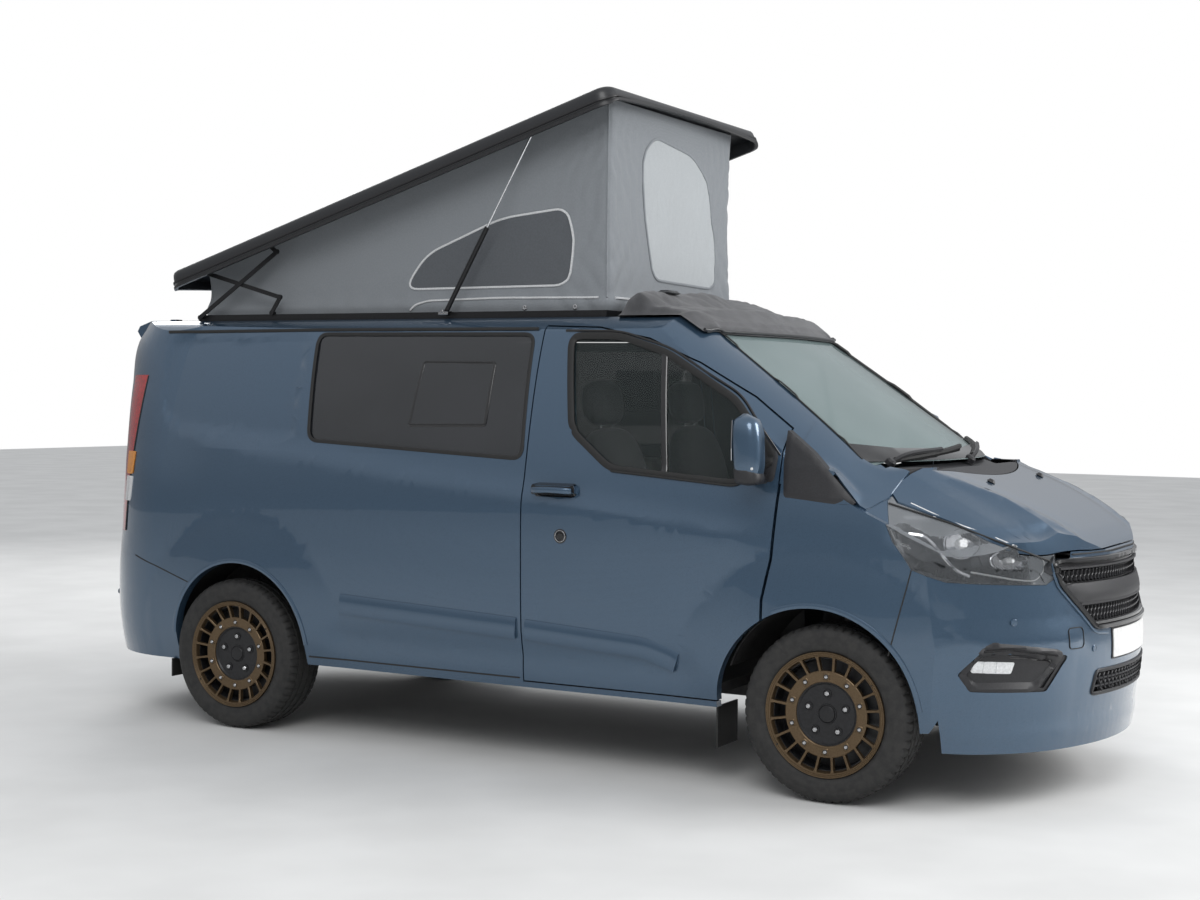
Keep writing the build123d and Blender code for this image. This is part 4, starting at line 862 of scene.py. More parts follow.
tree.links.new(soft_light.outputs["Background"], mixed.inputs[1])
tree.links.new(white.outputs["Background"], mixed.inputs[2])
out = tree.nodes.new("ShaderNodeOutputWorld")
tree.links.new(mixed.outputs["Shader"], out.inputs["Surface"])

for name, place, aim, size, power in (
        ("key_light", (3.5, -7.5, 6.5), (0, 0, 1.0), 5.0, 290),
        ("fill_light", (7.5, 2.5, 4.5), (1, 0, 1.0), 4.5, 400),
        ("back_light", (-6.5, 5.5, 6.0), (0, 0, 1.2), 5.0, 220)):
    lamp = bpy.data.lights.new(name, "AREA")
    lamp.shape, lamp.size, lamp.energy = "DISK", size, power
    holder = bpy.data.objects.new(name, lamp)
    holder.location = place
    holder.rotation_euler = (Vector(aim) - Vector(place)).to_track_quat("-Z", "Y").to_euler()
    bpy.context.scene.collection.objects.link(holder)

# The shell's panels

fine = (0.056, 0.11, 0.036)
for side_name in ("right", "left"):
    dress("body_side_" + side_name, paint, "paint", fine, lining)
    dress("door_" + side_name, paint, "paint", fine, lining)
    dress("door_glass_" + side_name, clear_glass, "clear_glass", (0.06, 0.09, 0.05))
dress("sliding_door", paint, "paint", fine, lining)
dress("roof_panel", paint, "paint", (0.09, 0.045, 0.09), lining)
dress("bonnet", paint, "paint", (0.035, 0.032, 0.06), lining)
dress("wings", paint, "paint", (0.03, 0.045, 0.03), lining)
dress("front_bumper", paint, "paint", (0.036, 0.036, 0.034), black_plastic)
dress("rear_bumper", paint, "paint", (0.05, 0.06, 0.04), black_plastic)
dress("tailgate", paint, "paint", (0.07, 0.05, 0.04), lining)
dress("windscreen", screen_glass, "clear_glass", (0.06, 0.05, 0.06))
dress("side_glass", dark_glass, "dark_glass", (0.06, 0.1, 0.05))
dress("tailgate_glass", dark_glass, "dark_glass", (0.08, 0.06, 0.06))
dress("cowl_panel", black_plastic, "black_trim", (0.05, 0.05, 0.04))
dress("tail_lamps", red_lens, "lamp_red", (0.034, 0.034, 0.034))
dress("fog_lamps", black_plastic, "black_trim", (0.03, 0.03, 0.03))
lamps = dress("headlamps", lamp_smoke, "lamp_clear", (0.025, 0.028, 0.023))
skin = skin_tree()


photo_focal, photo_step = 1808.3, 1.5


def photo_ray(a, b):
    """The camera's ray through a point of the photograph's frame, 1200 by 900."""
    return forward + (camera_right * (a - 600) - camera_up * (b - 450)) / photo_focal


def on_photo(side, out):
    """Places points of the photograph's frame on the skin along the camera's rays, mirrored for the left."""
    mirrored = Vector((1, -side, 1))

    def land(a, b, lift=0.0):
        best = None
        for i, j in beside:
            ray = photo_ray(a + i * photo_step, b + j * photo_step)
            start = Vector(camera_place) * mirrored
            distance = skin.ray_cast(start, (ray * mirrored).normalized(), 12)[3]
            if distance is not None and (best is None or distance / ray.length < best):
                best = distance / ray.length
        hit = Vector(camera_place) + photo_ray(a, b) * (best or 6.5)
        return hit * mirrored + land.out * lift
    land.out = Vector((out[0], out[1] * side, out[2])).normalized()
    land.flip = side < 0
    return land


# Wheels

tyre = Form()
tread = [(0.2455, -0.104), (0.25, -0.109), (0.268, -0.1145), (0.272, -0.1145), (0.276, -0.1158),
         (0.285, -0.1172), (0.296, -0.117), (0.3, -0.116), (0.304, -0.1168), (0.318, -0.115),
         (0.331, -0.108), (0.339, -0.099), (0.3425, -0.09), (0.3447, -0.08)]
for g in (-0.062, -0.022, 0.022, 0.062):
    tread += [(0.3462, g - 0.006), (0.3385, g - 0.0045), (0.3385, g + 0.0045), (0.3462, g + 0.006)]
tread += [(r, -h) for r, h in reversed(tread[:14])]
tread_segments = 240
ring_points, ring_faces, n = [], [], len(tread)
for k in range(tread_segments):
    angle = 2 * pi * k / tread_segments
    for r, h in tread:
        if 0.066 < abs(h) < 0.107 and r > 0.33 and k % 4 == 0:
            r -= 0.0065
        if abs(h) < 0.066 and r > 0.345 and (k + int(abs(h) * 300)) % 8 == 0:
            r -= 0.004
        ring_points.append((r * cos(angle), r * sin(angle), h))
    j = (k + 1) % tread_segments
    ring_faces += [(k * n + i, j * n + i, j * n + (i + 1) % n, k * n + (i + 1) % n) for i in range(n)]
tyre.add(ring_points, ring_faces)

rim = Form()
lip_ring = [(0.2235, 0.101), (0.2245, 0.1085), (0.227, 0.1118), (0.23, 0.1127), (0.2312, 0.1112),
            (0.233, 0.1112), (0.2342, 0.113), (0.2372, 0.1136), (0.2384, 0.1121), (0.2398, 0.1121),
            (0.241, 0.1136), (0.244, 0.1145), (0.245, 0.113), (0.245, 0.1025), (0.238, 0.098),
            (0.2265, 0.096), (0.2265, -0.096), (0.245, -0.102), (0.245, -0.114), (0.238, -0.1145),
            (0.221, -0.094), (0.2185, 0.085)]
rim.lathe(lip_ring, 0, segments=120)
rim.lathe([(0.1235, 0.086), (0.125, 0.0905), (0.1275, 0.0925), (0.156, 0.095), (0.1665, 0.0955),
           (0.1692, 0.0935), (0.1692, 0.072), (0.1235, 0.07)], 0, segments=120)
for k in range(20):
    angle = 2 * pi * (k + 0.5) / 20
    points = []
    for r, wide, top, deep in ((0.16, 0.0085, 0.095, 0.022), (0.172, 0.0052, 0.0958, 0.02),
                               (0.215, 0.0048, 0.1065, 0.024), (0.228, 0.0085, 0.111, 0.024)):
        points += [(r, -wide, top - deep), (r, -wide, top - 0.0015), (r, -wide + 0.0015, top),
                   (r, wide - 0.0015, top), (r, wide, top - 0.0015), (r, wide, top - deep)]
    rim.add(points, loft(4, 6), 0, Matrix.Rotation(angle, 4, "Z"))
for k in range(10):
    angle = 2 * pi * (k + 0.5) / 10
    at = Matrix.Rotation(angle, 4, "Z") @ Matrix.Translation((0.1465, 0, 0))
    rim.block((-0.0135, -0.0135, 0.09), (0.0135, 0.0135, 0.0972), 0, at, 0.0025)
    rim.lathe([(0, 0.0965), (0.0072, 0.0965), (0.0072, 0.0992), (0.0055, 0.1012), (0, 0.102)], 1, at, 16,
              False)
    rim.lathe([(0.0072, 0.0968), (0.0098, 0.0968), (0.0098, 0.098), (0.0072, 0.098)], 2, at, 16)
rim.lathe([(0, 0.078), (0.033, 0.079), (0.0345, 0.0825), (0.038, 0.083), (0.04, 0.0795),
           (0.115, 0.0805), (0.12, 0.086), (0.1236, 0.0865), (0.1236, 0.06),
           (0, 0.06)], 2, segments=96, closed=False)
rim.lathe([(0, 0.078), (0.03, 0.0785), (0.0322, 0.08), (0.0322, 0.0838), (0.03, 0.0856),
           (0.02, 0.0868), (0, 0.0872)], 2, segments=48, closed=False)
for k in range(5):
    at = Matrix.Rotation(2 * pi * (k + 0.25) / 5, 4, "Z") @ Matrix.Translation((0.08, 0, 0))
    rim.lathe([(0.0135, 0.08), (0.015, 0.0832), (0.0175, 0.0832), (0.0185, 0.08)], 2, at, 24)
    rim.lathe([(0, 0.079), (0.0105, 0.079), (0.0105, 0.088), (0.0085, 0.09), (0.0055, 0.09),
               (0.0045, 0.088), (0, 0.088)], 1, at, 6, False)
rim.lathe([(0, 0.06), (0.074, 0.06), (0.074, -0.052), (0, -0.052)], 2, segments=40, closed=False)
rim.lathe([(0.074, 0.05), (0.21, 0.03), (0.219, 0.04), (0.219, 0.02), (0.074, 0.035)], 2,
          segments=72)
rim.lathe([(0, -0.053), (0.074, -0.053), (0.148, -0.053), (0.15, -0.055), (0.15, -0.061),
           (0.142, -0.0625), (0.142, -0.0675), (0.15, -0.069), (0.15, -0.075), (0.148, -0.077),
           (0, -0.077)],
          3, segments=72, closed=False)
rim.lathe([(0.22, -0.09), (0.22, 0.09), (0.217, 0.09), (0.217, -0.09)], 2, segments=72)
for x in (0, pi):
    at = Matrix.Rotation(x + 0.6, 4, "Z") @ Matrix.Translation((0.233, 0, 0))
    rim.lathe([(0, 0.111), (0.003, 0.111), (0.003, 0.118), (0, 0.119)], 2, at, 10, False)
for wheel, (x, side) in wheels.items():
    lie = Matrix.Translation((x, side * track_half, tyre_radius)) @ Matrix.Rotation(-side * pi / 2, 4, "X")
    for kind, form, finish, where in (("tyre", tyre, [tyre_rubber], "tyre"),
                                      ("rim", rim, [bronze, steel, wheel_black, disc_iron], "bronze")):
        points = [lie @ p for p in form.points]
        piece = put(f"{kind}_{wheel}_detail", points, form.faces, finish, form.marks, wheel + "_wheel",
                    where, 32, 1e-5)
        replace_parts(piece, f"{kind}_{wheel}")


# Headlamps: a dark bowl behind a clear lens, with two reflectors and bright strips

def outer_of(piece, tree):
    """The triangles of a panel's outer face, without its rim."""
    data = piece.data
    points = np.empty(len(data.vertices) * 3)
    data.vertices.foreach_get("co", points)
    points = points.reshape(-1, 3)
    faces = np.array([tuple(f.vertices) for f in data.polygons if f.material_index == 0
                      and len(f.vertices) == 3])
    a, b, c = (points[faces[:, i]] for i in range(3))
    normal = np.cross(b - a, c - a)
    size = np.linalg.norm(normal, axis=1)
    normal /= np.maximum(size, 1e-12)[:, None]
    centre = (a + b + c) / 3
    kept = []
    for i in range(len(faces)):
        if size[i] < 1e-9:
            continue
        start = Vector(centre[i] + normal[i] * 0.0006)
        hit = tree.ray_cast(start, Vector(normal[i]), 0.05)[0]
        if hit is None and abs(centre[i][1]) > 0.3:
            kept.append(i)
    return points, faces[kept]


def shell_from(name, points, faces, depth, material, body, slot, sink=0.0, inset=0.0):
    """A thin sheet made from some triangles, moved in by the sink away from its border."""
    used, same = np.unique(faces, return_inverse=True)
    faces = same.reshape(-1, 3)
    points = points[used]
    normal = np.zeros_like(points)
    a, b, c = (points[faces[:, i]] for i in range(3))
    flat = np.cross(b - a, c - a)
    for i in range(3):
        np.add.at(normal, faces[:, i], flat)
    normal /= np.maximum(np.linalg.norm(normal, axis=1), 1e-12)[:, None]
    rim = border_of(faces)
    border = points[sorted({p for p, q in rim})]
    away = np.array([np.sqrt(((border - p) ** 2).sum(1).min()) for p in points])
    outer = points - normal * (sink * ease(away, 0.003, 0.045) + inset)[:, None]
    inner = outer - normal * depth
    n = len(points)
    skins = [tuple(f) for f in faces] + [(n + f[2], n + f[1], n + f[0]) for f in faces]
    skins += [(q, p, n + p, n + q) for p, q in rim]
    return put(name, np.vstack([outer, inner]), skins, material, None, body, slot, 40)


lamp_points, lamp_faces = outer_of(lamps, skin)
bpy.data.objects.remove(lamps)
housing = shell_from("headlamp_housings", lamp_points, lamp_faces, 0.004, lamp_smoke, "body", "lamp_clear",
                     0.05, 0.004)
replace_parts(housing, "headlamps")
shell_from("headlamp_lenses", lamp_points, lamp_faces, 0.0025, lamp_lens, "body", "lamp_clear")

corner_out = (0.72, 0.66, 0.22)
for side, hand in ((-1, "right"), (1, "left")):
    land = on_photo(side, corner_out)
    strip(f"lamp_upper_strip_{hand}", [(906, 518), (920, 518.5), (950, 518), (976, 524.5)], land, 0.022,
          0.006, chrome, corner=8, spacing=5, lift=-0.02)
    strip(f"lamp_lower_strip_{hand}", [(911, 533), (926, 535), (936, 544), (948, 559), (958, 570),
                                       (972, 576)], land,
          0.015, 0.006, chrome, corner=8, spacing=5, lift=-0.02)
    strip(f"lamp_day_strip_{hand}", [(912, 503), (950, 520.5), (995, 537), (1034, 553), (1045, 560),
                                     (1045, 570), (1037, 581), (1018, 580),
                                     (972, 572)], land, 0.007, 0.005, white_lens,
                                     corner=8, spacing=5, lift=-0.01)
    for k, (px, py, rx, ry) in enumerate(((964, 543, 17.5, 15.0), (1011, 560.5, 18.0, 10.0))):
        oval = [(px + rx * cos(2 * pi * i / 20), py + ry * sin(2 * pi * i / 20)) for i in range(20)]
        patch(f"lamp_reflector_{k}_{hand}", oval, land, chrome, lift=-0.03, depth=0.006,
              spacing=3, crown=-0.022)
        strip(f"lamp_ring_{k}_{hand}", oval, land, 0.008, 0.006, chrome, closed=True, spacing=3,
              lift=-0.026)
        small = [(px + rx * 0.34 * cos(2 * pi * i / 14), py + ry * 0.4 * sin(2 * pi * i / 14))
                 for i in range(14)]
        patch(f"lamp_bulb_{k}_{hand}", small, land, white_lens, lift=-0.03, depth=0.012,
              spacing=2, crown=0.01)
    strip(f"lamp_seal_{hand}", [(888.5, 503), (950.1, 522.8), (993.5, 539.6), (1036.8, 556), (1052, 562),
                                (1056, 568)], land, 0.006, 0.002, rubber, corner=6, spacing=5)

# Grille: frame, bars and a honeycomb between them

grille_base = dress("grille", gloss_black, "black_trim", (0.05, 0.05, 0.04), skin=False)


def honeycomb(name, half_outline, cell, bar_width, lift, depth):
    """A mesh of six-sided holes between a frame's edges, in front view."""
    outline = half_outline + [(-y, z) for y, z in reversed(half_outline)]
    low, high = min(p[1] for p in outline), max(p[1] for p in outline)
    wide = max(p[0] for p in outline)
    form = Form()
    row_step, column_step = cell * 0.866, cell
    rows = int((high - low) / row_step) + 1
    for row in range(rows + 1):
        z = low + row * row_step
        y = -wide + (0.5 * column_step if row % 2 else 0)
        while y < wide:
            ring = [(y + cell / 2 * 1.1547 * cos(pi / 6 + pi / 3 * k),
                     z + cell / 2 * 1.1547 * sin(pi / 6 + pi / 3 * k))
                    for k in range(6)]
            if all(within(a, b, outline) for a, b in ring):
                inner = [(y + (a - y) * (1 - 2 * bar_width / cell), z + (b - z) * (1 - 2 * bar_width / cell))
                         for a, b in ring]
                x0 = on_nose(y, z).x + lift
                points = []
                for loop, x in ((ring, x0), (inner, x0 + 0.002), (inner, x0 - depth), (ring, x0 - depth)):
                    points += [(x, a, b) for a, b in loop]
                faces = [(i * 6 + k, i * 6 + (k + 1) % 6, (i + 1) % 4 * 6 + (k + 1) % 6, (i + 1) % 4 * 6 + k)
                         for i in range(4) for k in range(6)]
                form.add(points, faces)
            y += column_step
    return form.put(name, black_plastic, sharp=30, merge=1e-6)


skin_points.append(np.array([v.co for v in grille_base.data.vertices]))
skin_triangles.append(np.array([tuple(f.vertices) for f in grille_base.data.polygons
                                if f.material_index == 0])
                      + sum(len(p) for p in skin_points[:-1]))
skin = skin_tree()
for name, outline in (("upper", [(0.0, 0.862), (0.562, 0.862), (0.57, 0.932), (0.0, 0.932)]),
                      ("middle", [(0.0, 0.706), (0.408, 0.706), (0.49, 0.792), (0.0, 0.792)])):
    honeycomb("honeycomb_" + name, outline, 0.026, 0.0026, 0.004, 0.01)
honeycomb("honeycomb_low", [(0.0, 0.432), (0.385, 0.432), (0.372, 0.518), (0.0, 0.518)], 0.034, 0.003,
          0.006, 0.012)
grille_edge = [(0.385, 0.69), (0.56, 0.865), (0.575, 0.955)]
grille_loop = grille_edge + [(-y, z) for y, z in reversed(grille_edge)]
strip("grille_frame", grille_loop, on_nose, 0.02, 0.012, gloss_black, closed=True, corner=0.03)
strip("grille_lower_bar", [(-0.4, 0.708), (0.4, 0.708)], on_nose, 0.016, 0.01, gloss_black)
for z, reach in ((0.785, 0.462), (0.926, 0.56)):
    strip(f"grille_bar_{int(z * 1000)}", [(-reach, z), (reach, z)], on_nose, 0.012, 0.01, black_plastic)
patch("grille_plain_bar", [(-0.545, 0.858), (-0.478, 0.795), (-0.44, 0.788), (0.44, 0.788), (0.478, 0.795),
                           (0.545, 0.858), (0.5, 0.866), (-0.5, 0.866)], on_nose, black_plastic,
      lift=0.014, depth=0.01, spacing=0.03, corner=0.015, edge=0.006)
strip("lower_grille_frame", [(0.4, 0.43), (0.38, 0.52), (-0.38, 0.52), (-0.4, 0.43)], on_nose,
      0.014, 0.006, black_plastic, closed=True, corner=0.02)
for z in (0.46, 0.489):
    strip(f"lower_bar_{int(z * 1000)}", [(-0.39, z), (0.39, z)], on_nose, 0.009, 0.008, black_plastic)
for k in range(-4, 5):
    strip(f"lower_post_{k + 4}", [(k * 0.082, 0.436), (k * 0.081, 0.515)], on_nose, 0.008, 0.007,
          black_plastic)
for name, side in (("grille_chin", 1), ("grille_chin_left", -1)):
    chin = [(side * y, z) for y, z in ((0.3, 0.664), (0.392, 0.672), (0.58, 0.858), (0.602, 0.955))]
    strip(name, chin, on_nose, 0.012, 0.004, paint, corner=0.03)

# Number plates with nothing on them, each on its holder
patch("front_plate", oblong(-0.26, 0.26, 0.562, 0.673), on_nose,
      plate_white, lift=0.005, depth=0.003, spacing=0.03, corner=0.008)
patch("front_plate_holder", oblong(-0.268, 0.268, 0.555, 0.68), on_nose,
      black_plastic, lift=0.002, depth=0.006, spacing=0.03, corner=0.01)

# Fog lamps in their black recesses
for side, hand in ((-1, "right"), (1, "left")):
    land = on_photo(side, corner_out)
    patch(f"fog_surround_{hand}", [(958.8, 676), (967.4, 662), (984.8, 646), (993.5, 642), (1058.5, 649.2),
                                   (1064, 652.5), (1061.8, 661.2), (1047.7, 678.5), (1039, 689.3),
                                   (1028.1, 693.3), (969.6, 692.6),
                                   (961, 685)], land, black_plastic, lift=0.007,
          depth=0.012, spacing=4, edge=0.01, corner=3,
          holes=[[(968, 676), (977, 658), (1000, 655), (1052, 661), (1044, 673), (1032, 682), (975, 682)]])
    strip(f"fog_fin_{hand}", [(984, 652), (1010, 650), (1056, 656)], land, 0.008, 0.012, gloss_black,
          corner=4, spacing=5)
    patch(f"fog_dish_{hand}", [(966, 677), (976, 657), (1000, 654), (1053, 660), (1044, 674), (1032, 683),
                               (973, 683)],
          land, gloss_black, lift=-0.002, depth=0.01, spacing=4, crown=-0.01)
    patch(f"fog_lens_{hand}", [(970, 671), (977, 661.5), (1015, 662.5), (1011, 674), (972, 673.5)], land,
          white_lens, lift=0.002, depth=0.01, spacing=3, edge=0.003, corner=2)
    for k, px in enumerate((984, 997)):
        strip(f"fog_rib_{k}_{hand}", [(px, 662), (px - 1.5, 673)], land, 0.003, 0.002, chrome,
              spacing=4, lift=0.002)


# Seals, trims and shut lines of the sides

for side, hand in ((-1, "right"), (1, "left")):
    land = on_side(side)
    door = hand + "_door"
    glass = [(0.307, 1.819), (0.374, 1.423), (0.573, 1.27), (1.139, 1.228), (1.302, 1.33), (1.102, 1.561),
             (0.772, 1.747), (0.536, 1.818)]
    strip(f"door_glass_seal_{hand}", glass, land, 0.03, 0.006, rubber, door, "black_trim", True, 0.05)
    strip(f"door_frame_trim_{hand}", [(0.275, 1.842), (0.54, 1.838), (0.785, 1.768), (1.118, 1.58),
                                      (1.318, 1.345)],
          land, 0.01, 0.003, gloss_black, door, corner=0.06)
    strip(f"door_divider_{hand}", [(0.76, 1.742), (0.822, 1.258)], land, 0.026, 0.006, gloss_black, door)
    strip(f"door_waist_seal_{hand}", [(0.58, 1.262), (1.14, 1.219), (1.285, 1.312)], land, 0.012, 0.009,
          rubber, door, corner=0.03)
    patch(f"mirror_foot_trim_{hand}", [(1.15, 1.236), (1.3, 1.24), (1.312, 1.345), (1.215, 1.452),
                                       (1.15, 1.47)],
          land, black_plastic, door, lift=0.004, depth=0.006, corner=0.02, edge=0.003)
    strip(f"sill_line_{hand}", [(-0.962, 0.372), (0.15, 0.372)], land, 0.006, 0.0015, rubber)
    strip(f"door_rub_strip_{hand}", [(0.19, 0.583), (0.745, 0.549), (0.895, 0.5)], land, 0.085, 0.011,
          paint, door, corner=0.03)
    strip(f"side_rub_strip_{hand}", [(-0.775, 0.625), (0.145, 0.585)], land, 0.09, 0.011, paint, corner=0.03)
    strip(f"roof_gutter_{hand}", [(-1.945, 1.848), (-1.0, 1.853), (0.137, 1.85)], land, 0.014, 0.005, rubber)
    for k, (cx, cz, r) in enumerate(arches):
        arc = [(cx + (r + 0.01) * cos(a), cz + (r + 0.01) * sin(a))
               for a in np.linspace(pi - 0.1, 0.1, 40)]
        if k == 0:
            arc = [q for q in arc if q[0] > 1.29]
        strip(f"arch_lip_{k}_{hand}", arc, land, 0.02, 0.0035, paint, spacing=0.03)
    strip(f"wing_bumper_line_{hand}", [(1.867, 0.927), (1.79, 0.6)], land, 0.005, 0.001, rubber)
    strip(f"rear_bumper_line_{hand}", [(-2.035, 0.772), (-1.665, 0.668)], land, 0.005, 0.001, rubber)

    # Door handle, with painted shade for its recess, and the lock
    handle = Form()
    grip = []
    for k in range(13):
        t = k / 12
        x = 0.232 + 0.186 * t
        skin_y = abs(land(x, 1.172).y)
        rise = 0.004 + 0.026 * sin(pi * t) ** 0.6
        grip.append(Vector((x, side * (skin_y + rise), 1.172 + 0.004 * sin(pi * t))))
    ring = [(-0.013, -0.006), (-0.01, 0.003), (0, 0.006), (0.01, 0.003), (0.013, -0.006), (0, -0.009)]
    band(f"door_handle_{hand}", grip, [land.out] * 13, ring, paint, door)
    # A gloss black sheet laid flat on the skin behind the handle: painted shade standing for the handle's
    # recess
    patch(f"handle_recess_{hand}", oblong(0.225, 0.43, 1.145, 1.203), land,
          gloss_black, door, lift=0.0012, depth=0.003, corner=0.026)
    at = upright(land(0.362, 0.984, 0.0), land.out)
    handle.lathe([(0, -0.004), (0.03, -0.004), (0.03, 0.002), (0.026, 0.004), (0.021, 0.004),
                  (0.019, 0.001), (0.014, 0.0015), (0.012, 0.004), (0, 0.004)], 0, at, 32, False)
    handle.lathe([(0.0215, 0.0035), (0.0255, 0.0035), (0.0245, 0.0048), (0.0225, 0.0048)], 1, at, 32)
    handle.put(f"door_lock_{hand}", [gloss_black, steel], door)

    # Mirror: painted cap, black base and arm, glass behind and a small lamp
    mirror = Form()
    cx, cy, cz = 1.24, side * 1.075, 1.395
    points, faces = [], loft(13, 24)
    for level in range(13):
        t = level / 12
        z = 1.238 + 0.268 * t
        full = (1 - abs(2 * t - 1) ** 3.4) ** 0.36
        lean = 0.028 * t
        hx, hy = 0.058 * full + 0.012, 0.084 * full + 0.006
        for k in range(24):
            a = 2 * pi * k / 24
            cxk, syk = cos(a), sin(a)
            px = abs(cxk) ** 0.62 * (1 if cxk > 0 else -1) * hx * (1.0 if cxk > 0 else 0.62)
            py = abs(syk) ** 0.7 * (1 if syk > 0 else -1) * hy * 0.66
            points.append((cx - lean * 0.5 + px, max(min(cy + py, 1.133), -1.133), z))
    mirror.add(points, faces, 0)
    base = [(q[0] * 0.94 + cx * 0.06 + 0.002, q[1] * 0.96 + cy * 0.04, 1.228 + (q[2] - 1.238) * 0.3)
            for q in points]
    mirror.add(base, faces, 1)
    mirror.block((-0.045, -0.02, -0.005), (0.045, 0.02, 0.1), 1,
                 Matrix.Translation((1.232, side * 0.945, 1.25)) @ Matrix.Rotation(-side * pi / 2, 4, "X"),
                 0.01, 0.8)
    face = [(-0.062, -0.066), (0.062, -0.066), (0.066, 0.0), (0.058, 0.092), (-0.058, 0.092), (-0.066, 0.0)]
    back = Matrix.Translation((cx - 0.0465, cy, cz - 0.005)) @ Matrix.Rotation(-pi / 2, 4, "Y")
    mirror.add([(b, a * 0.72, 0.0) for a, b in face] + [(b * 0.96, a * 0.7, 0.004) for a, b in face],
               loft(2, 6), 2, back)
    mirror.block((-0.02, -0.004, -0.006), (0.02, 0.004, 0.006), 3,
                 Matrix.Translation((1.268, side * 1.118, 1.296)) @ Matrix.Rotation(side * 0.5, 4, "Z"),
                 0.003)
    piece = mirror.put(f"mirror_{hand}_detail", [paint, black_plastic, mirror_glass, white_lens], door,
                       "paint", 45)
    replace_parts(piece, f"mirror_{hand}")

for side, hand, glass in (
        (-1, "right", [(-1.038, 1.833), (0.122, 1.827), (0.146, 1.297), (-0.996, 1.35)]),
        (1, "left", [(-0.93, 1.8), (0.06, 1.797), (0.084, 1.297), (-0.9, 1.33)])):
    strip(f"side_glass_seal_{hand}", glass, on_side(side), 0.016, 0.003, rubber, closed=True, corner=0.05)
for side, hand, glass in ((-1, "right", [(-0.422, 1.705), (-0.053, 1.702), (-0.06, 1.435), (-0.451, 1.428)]),
                          (1, "left", [(-0.38, 1.69), (-0.02, 1.688), (-0.03, 1.42), (-0.41, 1.412)])):
    strip(f"slider_frame_{hand}", glass, on_side(side), 0.014, 0.003, gloss_black, closed=True,
          corner=0.012)
    patch(f"slider_pane_{hand}", glass, on_side(side), dark_glass, lift=0.0015, depth=0.002,
          corner=0.01)
strip("door_rail_left", [(-1.99, 1.235), (-1.01, 1.235)], on_side(1), 0.024, 0.004, gloss_black)
strip("sliding_door_handle_left", [(-0.08, 1.15), (0.07, 1.145)], on_side(1), 0.03, 0.022, paint,
      corner=0.01)
patch("fuel_flap_left", oblong(0.205, 0.345, 0.8, 0.95), on_side(1), paint,
      "left_door", lift=0.0012, depth=0.002, corner=0.03)

# Windscreen surround, wipers, washer jets and the bonnet's edges

strip("screen_seal", [(0.742, 1.33), (0.732, 1.385), (0.615, 1.86), (-0.615, 1.86), (-0.732, 1.385),
                      (-0.742, 1.33)], on_nose, 0.02, 0.003, rubber, corner=0.04)
patch("screen_base_band", [(-0.735, 1.322), (0.735, 1.322), (0.728, 1.392), (0.5, 1.372), (0, 1.362),
                           (-0.5, 1.372), (-0.728, 1.392)], on_nose, gloss_black, lift=0.001, depth=0.002,
      spacing=0.03)


def envelope(heights, reach=10):
    """Bridges a short step or slot in a profile with straight chords over it."""
    bridged = heights.copy()
    for span in range(2, reach + 1):
        for k in range(1, span):
            chord = heights[:-span] * (1 - k / span) + heights[span:] * k / span
            bridged[k:k + len(chord)] = np.maximum(bridged[k:k + len(chord)], chord)
    return bridged


shoulder_outline = [(1.392, 0.745), (1.555, 0.745), (1.668, 0.735), (1.684, 0.7), (1.762, 0.694),
                    (1.744, 0.745), (1.733, 0.792), (1.729, 0.828), (1.712, 0.858), (1.692, 0.895),
                    (1.672, 0.932), (1.56, 0.945), (1.47, 0.94), (1.392, 0.89)]
across_lines = np.linspace(0.69, 0.95, 27)
along_line = np.linspace(1.36, 1.86, 51)
for side, hand in ((-1, "right"), (1, "left")):
    found = []
    for y in across_lines:
        row = np.array([on_top(x, side * y).z for x in along_line])
        found.append(envelope(np.maximum(row, 0.98)))
    found = np.array(found)
    for _ in range(2):
        found[1:-1] = np.maximum(found[1:-1], (found[:-2] + found[2:]) / 2)

    def on_shoulder(a, b, out=0.0):
        k = np.clip((b - across_lines[0]) / (across_lines[1] - across_lines[0]), 0, len(across_lines) - 1.001)
        low_row = int(k)
        part = k - low_row
        below, above = (np.interp(a, along_line, found[i]) for i in (low_row, low_row + 1))
        z = below * (1 - part) + above * part
        return Vector((a, side * (b + out * 0.5), float(z) + out))

    on_shoulder.flip, on_shoulder.out = side < 0, Vector((0, side * 0.4, 0.9)).normalized()
    patch(f"wing_shoulder_{hand}", shoulder_outline, on_shoulder, paint, lift=0.001, depth=0.012,
          spacing=0.012, sharp=60)
    trim_path = [(1.34, 1.445), (1.455, 1.358), (1.56, 1.255), (1.636, 1.17), (1.622, 1.158),
                 (1.345, 1.182), (1.336, 1.32)]

    def on_trim(a, b, out=0.0):
        half = float(np.ravel(plan_half(np.array([a]), np.array([b])))[0])
        return Vector((a, side * (half + 0.003 - 0.012 * min(max((a - 1.54) / 0.09, 0), 1) + out), b))

    on_trim.flip, on_trim.out = side < 0, Vector((0, side, 0))
    patch(f"wing_trim_{hand}", trim_path, on_trim, black_plastic, lift=0.003, depth=0.036,
          spacing=0.014, corner=0.008, edge=0.004)
gutter = Form()
gutter_half = 0.735
points = []
for k in range(49):
    y = gutter_half * (k / 24 - 1)
    base_x = 1.779 - 0.115 * (abs(y) / gutter_half) ** 2
    z = 1.288 - 0.012 * (abs(y) / gutter_half) ** 2
    points += [(base_x - 0.035, y, z + 0.016), (base_x + 0.01, y, z + 0.002), (base_x + 0.055, y, z - 0.004),
               (base_x + 0.055, y, z - 0.012), (base_x - 0.035, y, z + 0.004)]
gutter.add(points, loft(49, 5))
gutter.put("screen_gutter", black_plastic)
wipers = Form()
